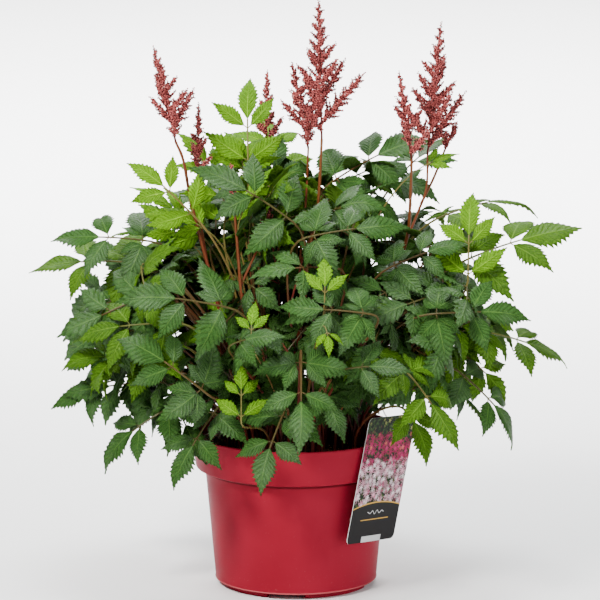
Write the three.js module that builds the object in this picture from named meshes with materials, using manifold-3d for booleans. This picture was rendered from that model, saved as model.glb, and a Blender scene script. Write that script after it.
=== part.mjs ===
// Potted astilbe: a nursery pot filled with peat, basal leaves of toothed leaflets that fan out
// from the crown, some with side sprays that fork off the petiole, flower stems with feathery
// plumes, and a plant tag that hangs over the rim.
// Millimetres, +Z up and -Y the front. Every piece is drawn about the pot's axis; the plant is then
// moved as a whole, so that the origin is on the floor under the middle of its box.

import * as THREE from 'three';
import { mergeVertices } from 'three/addons/utils/BufferGeometryUtils.js';
import Module from 'manifold-3d';

const wasm = await Module();
wasm.setup();

// ---- driving dimensions -----------------------------------------------------------------------

const CLEAR = 0.4; // gap left between pieces that touch
const SLIVER = 0.1; // edges of joins that are shorter than this are closed up
const POT_AXIS = [-7.3, -25.5]; // X and Y of the pot's axis: the leaves reach further right and back

const POT = {
  height: 141,
  rimRadius: 95,
  bandRadius: 90.5, // foot of the rim band
  bandBottom: 109,
  shoulderRadius: 82, // top of the tapered body, just under the band
  shoulderHeight: 106,
  baseRadius: 72.8,
  baseEdge: 7, // height where the rounded lower edge meets the tapered body
  wall: 1.8,
  sides: 32,
};
const FOOT = { radius: 67, width: 5, height: 5, sweep: 60, firstBearing: -53, count: 4 };
const DRAIN = { radius: 6, ring: 50, count: 4 };

const SOIL = { level: 128, dome: 4, lump: 1.6, rings: [62, 34], sides: 24 };

const TAG = {
  width: 73,
  length: 117,
  thickness: 0.6,
  corner: 5,
  bearing: 53, // where round the pot it hangs
  lean: 8, // degrees that its lower end is drawn in towards the pot
  turn: -6.5, // degrees that it hangs askew
  bottom: 49, // height of its lower edge
};
const TAG_HOLE = { radius: 2.4, across: [4.5, 25], drop: [13, 7.5] };
const LOOP_RADIUS = 0.7;

const LEAF = {
  blade: 0.7, // thickness of the blade
  rib: 1.8, // thickness of the rib
  ribHalfWidth: 1.1,
  stalk: 3.2, // petiole across its square foot
  neck: 2.2, // petiole just behind the blade
  droop: 26, // degrees that the rib bends down from its first leaflets to the tip
  archRadius: 120, // how tightly the side leaflets hang down from the rib
  sunk: 13, // depth of the petiole in its hole
  hole: 40, // length of the tool that cuts its hole, more than it needs
};

// Where a petiole leaves the soil, between the lowest leaf and the highest one, and how it bows:
// shares of the way to the blade that it rises straight up and that it arrives along the rib
const CROWN = { low: 170, high: 380, lowRadius: 68, highRadius: 22, collar: 4, rising: 0.42, arriving: 0.18 };

// Where the parts of a leaf sit along the rib, as shares of the leaflet length
const RIB = { start: -0.12, secondPair: 0.62, foot: 0.05, end: 0.2 };

// Toothed edge of a leaflet from its foot to its tip: [along, across] as shares of length and half width
const EDGE = {
  large: [[0.3, 0.95], [0.34, 0.77], [0.56, 0.86], [0.6, 0.65], [0.79, 0.54], [0.82, 0.35]],
  middle: [[0.36, 0.98], [0.41, 0.75], [0.68, 0.7], [0.72, 0.46]],
  small: [[0.42, 1], [0.5, 0.7]],
};
const LEAFLET = {
  tip: { length: 1, halfWidth: 0.3, edge: EDGE.large },
  second: { length: 0.78, halfWidth: 0.21, angle: 62, edge: EDGE.small },
  first: { length: 0.92, halfWidth: 0.26, angle: 76, edge: EDGE.middle },
};
const SPRAY_LEAFLET = {
  tip: { length: 1, halfWidth: 0.29, edge: EDGE.small },
  side: { length: 0.86, halfWidth: 0.25, angle: 60, edge: EDGE.small },
};
const YOUNG = { spread: 0.76, breadth: 0.72 }; // young leaves have not opened fully, and are narrower

const COLOURS = {
  pot: 0xae2b37,
  soil: 0x1b120d,
  tag: 0x2f2c2a,
  clear: 0xdfe3e2,
  stem: 0x7a2a24,
  plume: 0xae5753,
  dark: 0x3f6127,
  mid: 0x57803a,
  young: 0x86ab3d,
};

// One row a leaf. side: bearing of its petiole (0 = front, 90 = right); reach and height: where its
// first pair of leaflets sits; heading and rise: where the rib points there; roll: turn of the blade
// about the rib; size: leaflet length; tone: colour.
const LEAVES = [
  // left side and upper left
  { side: -66, reach: 101, height: 346, heading: -86, rise: 46, roll: -76, size: 44, tone: 'young' },
  { side: -102, reach: 44, height: 384, heading: 182, rise: 78, roll: 0, size: 48, tone: 'young' },
  { side: -86, reach: 136, height: 316, heading: -90, rise: 8, roll: -42, size: 50, tone: 'dark' },
  { side: -98, reach: 152, height: 290, heading: -96, rise: 4, roll: -30, size: 54, tone: 'mid' },
  { side: -30, reach: 127, height: 276, heading: -74, rise: 16, roll: -48, size: 54, tone: 'dark' },
  { side: -60, reach: 130, height: 252, heading: -88, rise: 0, roll: -42, size: 54, tone: 'mid' },
  { side: -74, reach: 138, height: 212, heading: -86, rise: 10, roll: -38, size: 46, tone: 'mid' },
  { side: -92, reach: 146, height: 190, heading: -94, rise: -14, roll: -28, size: 48, tone: 'dark' },
  { side: -38, reach: 134, height: 200, heading: -88, rise: 40, roll: -62, size: 52, tone: 'dark' },
  { side: -66, reach: 124, height: 172, heading: -76, rise: -26, roll: -24, size: 48, tone: 'dark' },
  { side: -40, reach: 112, height: 176, heading: -46, rise: -40, roll: -12, size: 46, tone: 'mid' },
  // front
  { side: 10, reach: 84, height: 334, heading: 84, rise: 14, roll: 48, size: 48, tone: 'dark' },
  { side: -7, reach: 64, height: 347, heading: -84, rise: 38, roll: -50, size: 54, tone: 'dark' },
  { side: 25, reach: 142, height: 274, heading: -92, rise: 8, roll: -46, size: 44, tone: 'mid' },
  { side: -19, reach: 154, height: 252, heading: 62, rise: 22, roll: 46, size: 38, pairs: 1, tone: 'mid' },
  { side: 2, reach: 132, height: 232, heading: 0, rise: -46, roll: 0, size: 48, tone: 'dark' },
  { side: -6, reach: 108, height: 178, heading: -26, rise: -38, roll: -6, size: 44, tone: 'mid' },
  { side: 14, reach: 110, height: 196, heading: 26, rise: -42, roll: 6, size: 42, pairs: 1, tone: 'dark' },
  // right side
  { side: 62, reach: 98, height: 300, heading: 90, rise: 26, roll: 42, size: 40, tone: 'dark' },
  { side: 86, reach: 156, height: 300, heading: 92, rise: 24, roll: 34, size: 60, tone: 'mid' },
  { side: 76, reach: 158, height: 290, heading: 174, rise: 84, roll: 0, size: 44, tone: 'young' },
  { side: 56, reach: 148, height: 264, heading: 86, rise: 6, roll: 52, size: 50, tone: 'dark' },
  { side: 22, reach: 150, height: 228, heading: 74, rise: 8, roll: 44, size: 42, pairs: 1, tone: 'dark' },
  { side: 82, reach: 168, height: 236, heading: 92, rise: -10, roll: 24, size: 50, tone: 'mid' },
  { side: 38, reach: 156, height: 222, heading: 52, rise: -38, roll: 14, size: 48, tone: 'mid' },
  { side: 68, reach: 160, height: 204, heading: 80, rise: -38, roll: 20, size: 48, tone: 'dark' },
  { side: 52, reach: 126, height: 172, heading: 54, rise: -44, roll: 10, size: 44, pairs: 1, tone: 'mid' },
  // top
  { side: 118, reach: 40, height: 366, heading: 92, rise: 34, roll: 40, size: 54, tone: 'dark' },
  { side: 215, reach: 30, height: 366, heading: 184, rise: 62, roll: 0, size: 46, pairs: 1, tone: 'dark' },
  // back
  { side: 106, reach: 140, height: 330, heading: 112, rise: 18, roll: 0, size: 52, tone: 'mid' },
  { side: 132, reach: 120, height: 352, heading: 140, rise: 34, roll: 0, size: 50, tone: 'dark' },
  { side: 160, reach: 114, height: 316, heading: 164, rise: 16, roll: 0, size: 54, tone: 'mid' },
  { side: 190, reach: 104, height: 360, heading: 190, rise: 40, roll: 0, size: 50, tone: 'young' },
  { side: 216, reach: 118, height: 322, heading: 214, rise: 16, roll: 0, size: 52, tone: 'dark' },
  { side: 240, reach: 118, height: 300, heading: 230, rise: 12, roll: 0, size: 52, tone: 'mid' },
  { side: 118, reach: 142, height: 236, heading: 118, rise: -12, roll: 0, size: 52, tone: 'dark' },
  { side: 144, reach: 132, height: 196, heading: 148, rise: -24, roll: 0, size: 54, tone: 'mid' },
  { side: 174, reach: 138, height: 246, heading: 174, rise: -8, roll: 0, size: 54, tone: 'dark' },
  { side: 204, reach: 130, height: 192, heading: 206, rise: -24, roll: 0, size: 52, tone: 'mid' },
  { side: 234, reach: 142, height: 240, heading: 236, rise: -10, roll: 0, size: 52, tone: 'dark' },
];

// Side sprays: small blades of three leaflets, each on a stalk that forks off the petiole of a leaf.
// from: number of that leaf; fork: on which stretch of its petiole, 1 the upper and 2 the lower one
const SPRAYS = [
  // back, upper part
  { from: 32, fork: 1, side: 146, reach: 96, height: 292, heading: 140, rise: 10, roll: 0, size: 52 },
  { from: 34, fork: 1, side: 200, reach: 90, height: 286, heading: 196, rise: 12, roll: 0, size: 52 },
  { from: 31, fork: 1, side: 118, reach: 78, height: 322, heading: 108, rise: 20, roll: 0, size: 50 },
  { from: 35, fork: 1, side: 257, reach: 84, height: 301, heading: 264, rise: 14, roll: 0, size: 50 },
  { from: 32, fork: 1, side: 176, reach: 60, height: 332, heading: 168, rise: 34, roll: 0, size: 50 },
  { from: 34, fork: 1, side: 228, reach: 66, height: 338, heading: 226, rise: 30, roll: 0, size: 48 },
  // back, lower part
  { from: 38, fork: 1, side: 160, reach: 104, height: 216, heading: 160, rise: -16, roll: 0, size: 52 },
  { from: 40, fork: 1, side: 220, reach: 104, height: 212, heading: 222, rise: -16, roll: 0, size: 52 },
  // top
  { from: 28, fork: 1, side: 100, reach: 52, height: 350, heading: 84, rise: 30, roll: 0, size: 48 },
  { from: 29, fork: 1, side: 250, reach: 44, height: 352, heading: 250, rise: 36, roll: 0, size: 46 },
  { from: 12, fork: 1, side: 36, reach: 56, height: 350, heading: 60, rise: 28, roll: 30, size: 46 },
  // left and right skirts
  { from: 8, fork: 1, side: -112, reach: 116, height: 182, heading: -110, rise: -20, roll: 0, size: 48 },
  { from: 10, fork: 1, side: -74, reach: 116, height: 178, heading: -76, rise: -24, roll: -20, size: 46 },
  { from: 26, fork: 1, side: 86, reach: 136, height: 184, heading: 92, rise: -30, roll: 0, size: 48 },
  { from: 36, fork: 1, side: 106, reach: 124, height: 206, heading: 106, rise: -22, roll: 0, size: 48 },
  // front
  { from: 16, fork: 1, side: -17, reach: 101, height: 251, heading: -26, rise: -12, roll: -3, size: 46 },
  { from: 25, fork: 1, side: 34, reach: 111, height: 232, heading: 35, rise: -23, roll: 10, size: 44 },
  // heart, behind the flower stems
  { from: 29, fork: 1, side: 249, reach: 34, height: 286, heading: 207, rise: 54, roll: 3, size: 41 },
  { from: 28, fork: 2, side: 124, reach: 38, height: 284, heading: 160, rise: 48, roll: 0, size: 42 },
];
const SPRAY = { foot: 1.8, knee: 0.4, bow: 0.08 }; // stalk's thickness at the fork, and its upward bow

// Flower stems: the points that each follows up from its hole, and the side shoots that leave it
const STEMS = [
  {
    name: 'flower_stem_left',
    path: [[-38, -14, 115], [-38, -14, 140], [-54, -20, 195], [-70, -24, 262], [-80, -24, 301],
      [-93, -22, 351], [-100, -22, 390], [-107, -22, 408]],
    shoots: [[[-79, -24, 298], [-84, -12, 325], [-87, 2, 352], [-88, 6, 370]]],
  },
  {
    name: 'flower_stem_back',
    path: [[-12, 38, 115], [-12, 38, 140], [-18, 58, 210], [-24, 74, 300], [-27, 80, 386]],
    shoots: [],
  },
  {
    name: 'flower_stem_dark',
    path: [[-24, -32, 115], [-24, -32, 140], [-38, -42, 200], [-48, -46, 272], [-51, -46, 305],
      [-55, -46, 358]],
    shoots: [[[-49, -46, 282], [-38, -37, 305], [-27, -26, 328]]],
  },
  {
    name: 'flower_stem_middle',
    path: [[0, -8, 115], [0, -8, 140], [2, -10, 200], [4, -10, 262], [14, -10, 317],
      [20, -10, 353], [23, -10, 408]],
    shoots: [[[4, -10, 268], [4, 0, 300], [9, 10, 350], [11, 12, 396]]],
  },
  {
    name: 'flower_stem_right',
    path: [[36, 14, 115], [36, 14, 140], [54, 14, 190], [80, 10, 255], [99, 2, 314],
      [102, -10, 350], [103, -20, 392]],
    shoots: [
      [[98, 2, 311], [110, 8, 340], [117, 13, 360], [118, 15, 390]],
      [[112, 8, 346], [124, 21, 368], [134, 29, 392]],
    ],
  },
];
const STEM = { foot: 2.4, top: 1.3, shoot: 1.2, sides: 5 };

// Plumes: the foot and the tip of each, the reach of its lowest branches, and how many it has
const PLUMES = [
  { name: 'plume_left', foot: [-107, -22, 408], tip: [-127, -22, 496], reach: 30, branches: 11 },
  { name: 'plume_left_low', foot: [-88, 6, 370], tip: [-87, 8, 440], reach: 18, branches: 8 },
  { name: 'plume_back', foot: [-27, 80, 386], tip: [-26, 80, 458], reach: 20, branches: 8 },
  { name: 'plume_dark', foot: [-55, -46, 358], tip: [-58, -46, 394], reach: 12, branches: 5 },
  { name: 'plume_dark_low', foot: [-27, -26, 328.4], tip: [-24, -24, 352], reach: 8, branches: 4 },
  { name: 'plume_middle', foot: [23, -10, 408], tip: [20, -10, 537], reach: 42, branches: 15 },
  { name: 'plume_middle_low', foot: [11, 12, 396], tip: [-4, 12, 476], reach: 30, branches: 9 },
  { name: 'plume_right_near', foot: [103, -20, 392], tip: [91, -20, 473], reach: 24, branches: 9 },
  { name: 'plume_right', foot: [118, 15, 390], tip: [130, 15, 512], reach: 40, branches: 14 },
  { name: 'plume_right_low', foot: [134, 29, 392], tip: [146, 34, 418], reach: 10, branches: 4 },
];
const PLUME = {
  core: 3.4, // radius of the middle spike at its foot
  branch: 4.6, // radius of the lowest side branches
  thinning: 0.45, // share of that radius that the highest one has lost
  turn: 137.5, // degrees from each branch to the next one up
  start: 60, // degrees that the lowest branch is turned from one plume to the next
  lift: 50, // how steeply the branches rise
  taper: 1.35, // how fast their reach falls off with height, as a power
  uneven: [0.86, 0.28], // least share of its reach that a branch has, and how much more by chance
  lowest: 0.06, // share of the height where the branches start
  span: 0.8, // share of the height that they fill
  rings: [[0, 2], [7, 3], [13, 4], [26, 5]], // rings of florets on a branch, from this reach up
  floretPitch: 11, // height of a ring of florets on the middle spike
  seedStep: 31, // keeps the chances of one plume apart from those of the next
};

// ---- small tools ------------------------------------------------------------------------------

const rad = THREE.MathUtils.degToRad;
const vec = (p) => new THREE.Vector3(...p);

// Unit vector that points outward at a bearing: 0 is the front, 90 the right
const outward = (bearing) => new THREE.Vector3(Math.sin(rad(bearing)), -Math.cos(rad(bearing)), 0);

// The same number between 0 and 1 for the same seed each time
function chance(seed) {
  const wave = Math.sin(seed * 12.9898 + 4.1414) * 43758.5453;
  return wave - Math.floor(wave);
}

function geometryOf(positions, triangles) {
  const geometry = new THREE.BufferGeometry();
  geometry.setAttribute('position', new THREE.Float32BufferAttribute(positions, 3));
  geometry.setIndex(triangles);
  return geometry;
}

// Shared vertices, no collapsed triangles and faces that point out
function closed(geometry) {
  const bare = geometry.clone();
  bare.deleteAttribute('normal');
  bare.deleteAttribute('uv');
  const merged = mergeVertices(bare, 1e-4);
  const index = merged.index.array;
  const kept = [];
  for (let i = 0; i < index.length; i += 3) {
    const [a, b, c] = [index[i], index[i + 1], index[i + 2]];
    if (a !== b && b !== c && c !== a) kept.push(a, b, c);
  }
  merged.setIndex(kept);
  if (signedVolume(merged) < 0) {
    for (let i = 0; i < kept.length; i += 3) [kept[i], kept[i + 1]] = [kept[i + 1], kept[i]];
    merged.setIndex(kept);
  }
  return merged;
}

function signedVolume(geometry) {
  const p = geometry.attributes.position;
  const index = geometry.index.array;
  const corner = (k) => new THREE.Vector3().fromBufferAttribute(p, index[k]);
  let six = 0;
  for (let i = 0; i < index.length; i += 3) six += corner(i).dot(corner(i + 1).cross(corner(i + 2)));
  return six / 6;
}

function solidOf(geometry) {
  const g = closed(geometry);
  return new wasm.Manifold(new wasm.Mesh({
    numProp: 3,
    vertProperties: new Float32Array(g.attributes.position.array),
    triVerts: new Uint32Array(g.index.array),
  }));
}

function geometryFrom(solid) {
  const mesh = solid.getMesh();
  return geometryOf(Array.from(mesh.vertProperties), Array.from(mesh.triVerts));
}

function joined(geometries) {
  const whole = geometries.map(solidOf).reduce((sum, next) => sum.add(next));
  return geometryFrom(whole.asOriginal().simplify(SLIVER));
}

function cut(geometry, tools) {
  const rest = tools.map(solidOf).reduce((left, tool) => left.subtract(tool), solidOf(geometry));
  return geometryFrom(rest.asOriginal().simplify(SLIVER));
}

// A closed tube with one ring of corners a centre; radiusAt(ring, corner) may differ at each corner
function ringTube(centres, sides, side, radiusAt, pointed = false) {
  const positions = [];
  const triangles = [];
  const last = centres.length - 1;
  centres.forEach((centre, i) => {
    const ahead = centres[Math.min(i + 1, last)].clone().sub(centres[Math.max(i - 1, 0)]).normalize();
    const across = side.clone().addScaledVector(ahead, -side.dot(ahead)).normalize();
    const up = ahead.clone().cross(across);
    const corners = pointed && i === last ? 1 : sides;
    for (let j = 0; j < corners; j++) {
      const angle = (2 * Math.PI * (j + 0.5)) / sides;
      const radius = corners === 1 ? 0 : radiusAt(i, j);
      const p = centre.clone();
      p.addScaledVector(across, radius * Math.cos(angle)).addScaledVector(up, radius * Math.sin(angle));
      positions.push(p.x, p.y, p.z);
    }
  });
  for (let i = 0; i < last; i++) {
    const toTip = pointed && i + 1 === last;
    for (let j = 0; j < sides; j++) {
      const a = i * sides + j;
      const b = i * sides + ((j + 1) % sides);
      if (toTip) triangles.push(a, b, last * sides);
      else triangles.push(a, b, b + sides, a, b + sides, a + sides);
    }
  }
  for (let j = 1; j < sides - 1; j++) {
    triangles.push(0, j + 1, j);
    if (!pointed) triangles.push(last * sides, last * sides + j, last * sides + j + 1);
  }
  return geometryOf(positions, triangles);
}

function mesh(name, geometry, colour, roughness, extra = {}) {
  const look = { color: COLOURS[colour], roughness, metalness: 0, ...extra };
  const material = new THREE.MeshStandardMaterial(look);
  const piece = new THREE.Mesh(closed(geometry), material);
  piece.name = name;
  return piece;
}

// ---- pot and soil -----------------------------------------------------------------------------

function lathed(profile, sides) {
  const points = profile.map(([r, z]) => new THREE.Vector2(r, z));
  return new THREE.LatheGeometry(points, sides).rotateX(Math.PI / 2);
}

function footPiece(bearing) {
  const half = rad(FOOT.sweep / 2);
  const shape = new THREE.Shape();
  shape.absarc(0, 0, FOOT.radius, -half, half, false);
  shape.absarc(0, 0, FOOT.radius - FOOT.width, half, -half, true);
  const sunkIn = 0.8;
  const foot = new THREE.ExtrudeGeometry(shape, {
    depth: FOOT.height + sunkIn,
    bevelEnabled: false,
    curveSegments: 5,
  });
  return foot.rotateZ(rad(bearing - 90));
}

function drainHole(bearing) {
  const hole = new THREE.CylinderGeometry(DRAIN.radius, DRAIN.radius, 4 * POT.wall, 8).rotateX(Math.PI / 2);
  const at = outward(bearing).multiplyScalar(DRAIN.ring);
  return hole.translate(at.x, at.y, FOOT.height + POT.wall);
}

function potGeometry() {
  const floor = FOOT.height;
  const wall = POT.wall;
  const body = lathed([
    [0, floor], [POT.baseRadius - 1.5, floor], [POT.baseRadius, POT.baseEdge],
    [POT.shoulderRadius, POT.shoulderHeight], [POT.bandRadius, POT.bandBottom], [POT.rimRadius, POT.height],
    [POT.rimRadius - wall, POT.height], [POT.bandRadius - wall, POT.bandBottom + wall],
    [POT.shoulderRadius - wall, POT.shoulderHeight + wall], [POT.baseRadius - wall, floor + wall],
    [0, floor + wall],
  ], POT.sides);
  const turns = Array.from({ length: FOOT.count }, (_, i) => FOOT.firstBearing + (360 / FOOT.count) * i);
  const withFeet = joined([body, ...turns.map(footPiece)]);
  return cut(withFeet, turns.map((turn) => drainHole(turn + 180 / DRAIN.count)));
}

// Inside radius of the pot's band at a height, at the middle of its flats
function bandInside(z) {
  const share = (z - POT.bandBottom - POT.wall) / (POT.height - POT.bandBottom - POT.wall);
  const corner = POT.bandRadius - POT.wall + share * (POT.rimRadius - POT.bandRadius);
  return corner * Math.cos(Math.PI / POT.sides);
}

function soilGeometry(holes) {
  const floor = FOOT.height + POT.wall + CLEAR;
  const edge = bandInside(SOIL.level) - CLEAR;
  const soil = closed(lathed([
    [0, floor], [POT.baseRadius - POT.wall - 2 * CLEAR, floor],
    [POT.shoulderRadius - POT.wall - 2 * CLEAR, POT.shoulderHeight + POT.wall],
    [POT.bandRadius - POT.wall - CLEAR, POT.bandBottom + POT.wall + 2 * CLEAR], [edge, SOIL.level],
    ...SOIL.rings.map((r) => [r, SOIL.level + SOIL.dome * (1 - r / edge)]), [0, SOIL.level + SOIL.dome],
  ], SOIL.sides));
  const p = soil.attributes.position;
  for (let i = 0; i < p.count; i++) {
    const inside = Math.hypot(p.getX(i), p.getY(i)) < edge - 1;
    if (inside && p.getZ(i) > SOIL.level) p.setZ(i, p.getZ(i) + SOIL.lump * (2 * chance(i) - 1));
  }
  return cut(soil, holes);
}

// ---- tag and loop -----------------------------------------------------------------------------

// Stands the flat tag, drawn in X and Y about its lower middle, against the outside of the rim
function placeTag(object) {
  const reach = POT.rimRadius + CLEAR - (POT.height - TAG.bottom) * Math.tan(rad(TAG.lean));
  const at = outward(TAG.bearing).multiplyScalar(reach);
  object.position.set(at.x, at.y, TAG.bottom);
  object.rotateZ(rad(TAG.bearing));
  object.rotateX(rad(90 + TAG.lean));
  object.rotateZ(rad(TAG.turn));
}

function tagHoleAt(i) {
  return [TAG_HOLE.across[i], TAG.length - TAG_HOLE.drop[i]];
}

function tagMesh() {
  const shape = new THREE.Shape();
  const half = TAG.width / 2;
  const r = TAG.corner;
  shape.moveTo(-half + r, 0);
  shape.lineTo(half - r, 0);
  shape.absarc(half - r, r, r, -Math.PI / 2, 0, false);
  shape.lineTo(half, TAG.length - r);
  shape.absarc(half - r, TAG.length - r, r, 0, Math.PI / 2, false);
  shape.lineTo(-half + r, TAG.length);
  shape.absarc(-half + r, TAG.length - r, r, Math.PI / 2, Math.PI, false);
  shape.lineTo(-half, r);
  shape.absarc(-half + r, r, r, Math.PI, 1.5 * Math.PI, false);
  for (const i of [0, 1]) {
    const hole = new THREE.Path();
    hole.absarc(...tagHoleAt(i), TAG_HOLE.radius, 0, 2 * Math.PI, true);
    shape.holes.push(hole);
  }
  const card = new THREE.ExtrudeGeometry(shape, {
    depth: TAG.thickness,
    bevelEnabled: false,
    curveSegments: 3,
  });
  const tag = mesh('tag', card, 'tag', 0.35);
  placeTag(tag);
  return tag;
}

// The clear strap: through one hole of the tag, up round behind and back through the other
function loopMesh() {
  const [left, right] = [0, 1].map(tagHoleAt);
  const front = TAG.thickness + LOOP_RADIUS + CLEAR;
  const back = -(LOOP_RADIUS + CLEAR);
  const path = new THREE.CatmullRomCurve3([
    [left[0], left[1], front], [left[0], left[1], -1.5], [left[0] - 2, left[1] + 5, back - 2],
    [left[0] - 6, left[1] + 16, back - 10], [left[0] + 4, left[1] + 24, back - 20],
    [right[0] - 2, right[1] + 16, back - 10], [right[0], right[1] + 5, back - 2],
    [right[0], right[1], -1.5], [right[0], right[1], front],
  ].map(vec), false, 'centripetal');
  const strap = new THREE.Shape();
  strap.absarc(0, 0, LOOP_RADIUS, 0, 2 * Math.PI, false);
  const tube = new THREE.ExtrudeGeometry(strap, {
    steps: 14,
    bevelEnabled: false,
    curveSegments: 2,
    extrudePath: path,
  });
  const loop = mesh('tag_loop', tube, 'clear', 0.2, { transparent: true, opacity: 0.5 });
  placeTag(loop);
  return loop;
}

// ---- leaves -----------------------------------------------------------------------------------

// The leaf's own axes at its first pair of leaflets: ahead along the rib, left and up off the blade
function leafAxes(leaf) {
  const ahead = outward(leaf.heading).multiplyScalar(Math.cos(rad(leaf.rise)));
  ahead.z = Math.sin(rad(leaf.rise));
  const left = new THREE.Vector3(Math.cos(rad(leaf.heading)), Math.sin(rad(leaf.heading)), 0);
  left.applyAxisAngle(ahead, rad(leaf.roll));
  return { ahead, left, up: ahead.clone().cross(left) };
}

// How far along the rib the last leaflet starts
const ribEnd = (leaf) => RIB.end + (leaf.pairs === 1 || leaf.from ? 0 : RIB.secondPair);

const leafFoot = (leaf) => outward(leaf.side).multiplyScalar(leaf.reach).setZ(leaf.height);

// Bends the flat leaf: the rib droops ahead on an arc and the sides hang down from it
function bent(leaf, axes, along, across, off) {
  const radius = (ribEnd(leaf) + 1) * leaf.size / rad(LEAF.droop);
  const turn = Math.max(along, 0) / radius;
  const ahead = axes.ahead.clone().multiplyScalar(Math.cos(turn)).addScaledVector(axes.up, -Math.sin(turn));
  const up = axes.up.clone().multiplyScalar(Math.cos(turn)).addScaledVector(axes.ahead, Math.sin(turn));
  const p = leafFoot(leaf);
  p.addScaledVector(axes.ahead, along > 0 ? radius * Math.sin(turn) : along);
  p.addScaledVector(axes.up, -radius * (1 - Math.cos(turn)));
  const sideTurn = across / LEAF.archRadius;
  p.addScaledVector(axes.left, LEAF.archRadius * Math.sin(sideTurn));
  p.addScaledVector(up, -LEAF.archRadius * (1 - Math.cos(sideTurn)));
  const normal = up.multiplyScalar(Math.cos(sideTurn)).addScaledVector(axes.left, Math.sin(sideTurn));
  return p.addScaledVector(normal, off);
}

// The side leaflets of a leaf or spray, as [place along the rib, form], and the one at its end
function leafletsOf(leaf) {
  if (leaf.from) return { pairs: [[0, SPRAY_LEAFLET.side]], tip: SPRAY_LEAFLET.tip };
  const { first, second, tip } = LEAFLET;
  return { pairs: leaf.pairs === 1 ? [[0, second]] : [[0, first], [RIB.secondPair, second]], tip };
}

// The flat leaf as one sheet: points with their half thickness, and triangles seen from above
function leafSheet(leaf) {
  const points = [];
  const faces = [];
  const add = (along, across, half) => points.push({ along, across, half }) - 1;
  const quad = (rightBack, rightFront, leftFront, leftBack) => {
    faces.push([rightBack, rightFront, leftFront], [rightBack, leftFront, leftBack]);
  };
  const { pairs, tip } = leafletsOf(leaf);
  const { spread, breadth } = leaf.tone === 'young' ? YOUNG : { spread: 1, breadth: 1 };
  const stations = [RIB.start, ...pairs.flatMap(([at]) => [at, at + RIB.foot]), ribEnd(leaf)];
  const rib = stations.map((share) => ({
    right: add(share * leaf.size, -LEAF.ribHalfWidth, LEAF.rib / 2),
    left: add(share * leaf.size, LEAF.ribHalfWidth, LEAF.rib / 2),
  }));
  for (let i = 0; i + 1 < rib.length; i++) quad(rib[i].right, rib[i + 1].right, rib[i + 1].left, rib[i].left);

  const leaflet = (rightFoot, leftFoot, angle, form) => {
    const along = new THREE.Vector2(Math.cos(rad(angle)), Math.sin(rad(angle)));
    const from = points[rightFoot];
    const to = points[leftFoot];
    const foot = new THREE.Vector2((from.along + to.along) / 2, (from.across + to.across) / 2);
    const length = form.length * leaf.size;
    const halfWidth = form.halfWidth * breadth * leaf.size;
    const place = (share, wide) => add(
      foot.x + share * length * along.x - wide * halfWidth * along.y,
      foot.y + share * length * along.y + wide * halfWidth * along.x,
      LEAF.blade / 2,
    );
    let [right, left] = [rightFoot, leftFoot];
    for (const [share, wide] of form.edge) {
      const [nextRight, nextLeft] = [place(share, -wide), place(share, wide)];
      quad(right, nextRight, nextLeft, left);
      [right, left] = [nextRight, nextLeft];
    }
    faces.push([right, place(1, 0), left]);
  };
  pairs.forEach(([, form], k) => {
    const [back, front] = [rib[2 * k + 1], rib[2 * k + 2]];
    leaflet(front.left, back.left, spread * form.angle, form);
    leaflet(back.right, front.right, -spread * form.angle, form);
  });
  leaflet(rib.at(-1).right, rib.at(-1).left, 0, tip);
  return { points, faces, start: rib[0] };
}

// Where a leaf's petiole leaves the soil: the lower the leaf, the further out
function petioleFoot(leaf) {
  const share = THREE.MathUtils.clamp((leaf.height - CROWN.low) / (CROWN.high - CROWN.low), 0, 1);
  const radius = THREE.MathUtils.lerp(CROWN.lowRadius, CROWN.highRadius, share);
  return outward(leaf.side).multiplyScalar(radius).setZ(SOIL.level - LEAF.sunk);
}

// The bow of a petiole, from just behind the blade down to the top of the soil
function petioleCurve(leaf, axes) {
  const collar = petioleFoot(leaf).setZ(SOIL.level + SOIL.dome + CROWN.collar);
  const end = bent(leaf, axes, RIB.start * leaf.size, 0, 0);
  const span = end.distanceTo(collar);
  const rising = collar.clone().addScaledVector(new THREE.Vector3(0, 0, 1), CROWN.rising * span);
  const arriving = end.clone().addScaledVector(axes.ahead, -CROWN.arriving * span);
  return new THREE.CubicBezierCurve3(end, arriving, rising, collar);
}

// Centres of the petiole as it is drawn: straight between three places on its bow, then down its hole
const PETIOLE_PLACES = [0.33, 0.68, 1];

function petioleCentres(leaf, axes) {
  const curve = petioleCurve(leaf, axes);
  return [...PETIOLE_PLACES.map((t) => curve.getPoint(t)), petioleFoot(leaf)];
}

// Centres of a spray's stalk: from just behind its blade to its fork, midway on a stretch of petiole
function stalkCentres(spray, axes) {
  const leaf = LEAVES[spray.from - 1];
  const petiole = petioleCentres(leaf, leafAxes(leaf));
  const fork = petiole[spray.fork - 1].lerp(petiole[spray.fork], 0.5);
  const end = bent(spray, axes, RIB.start * spray.size, 0, 0);
  const knee = fork.clone().lerp(end, SPRAY.knee);
  knee.z += SPRAY.bow * end.distanceTo(fork);
  return [knee, fork];
}

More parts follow.
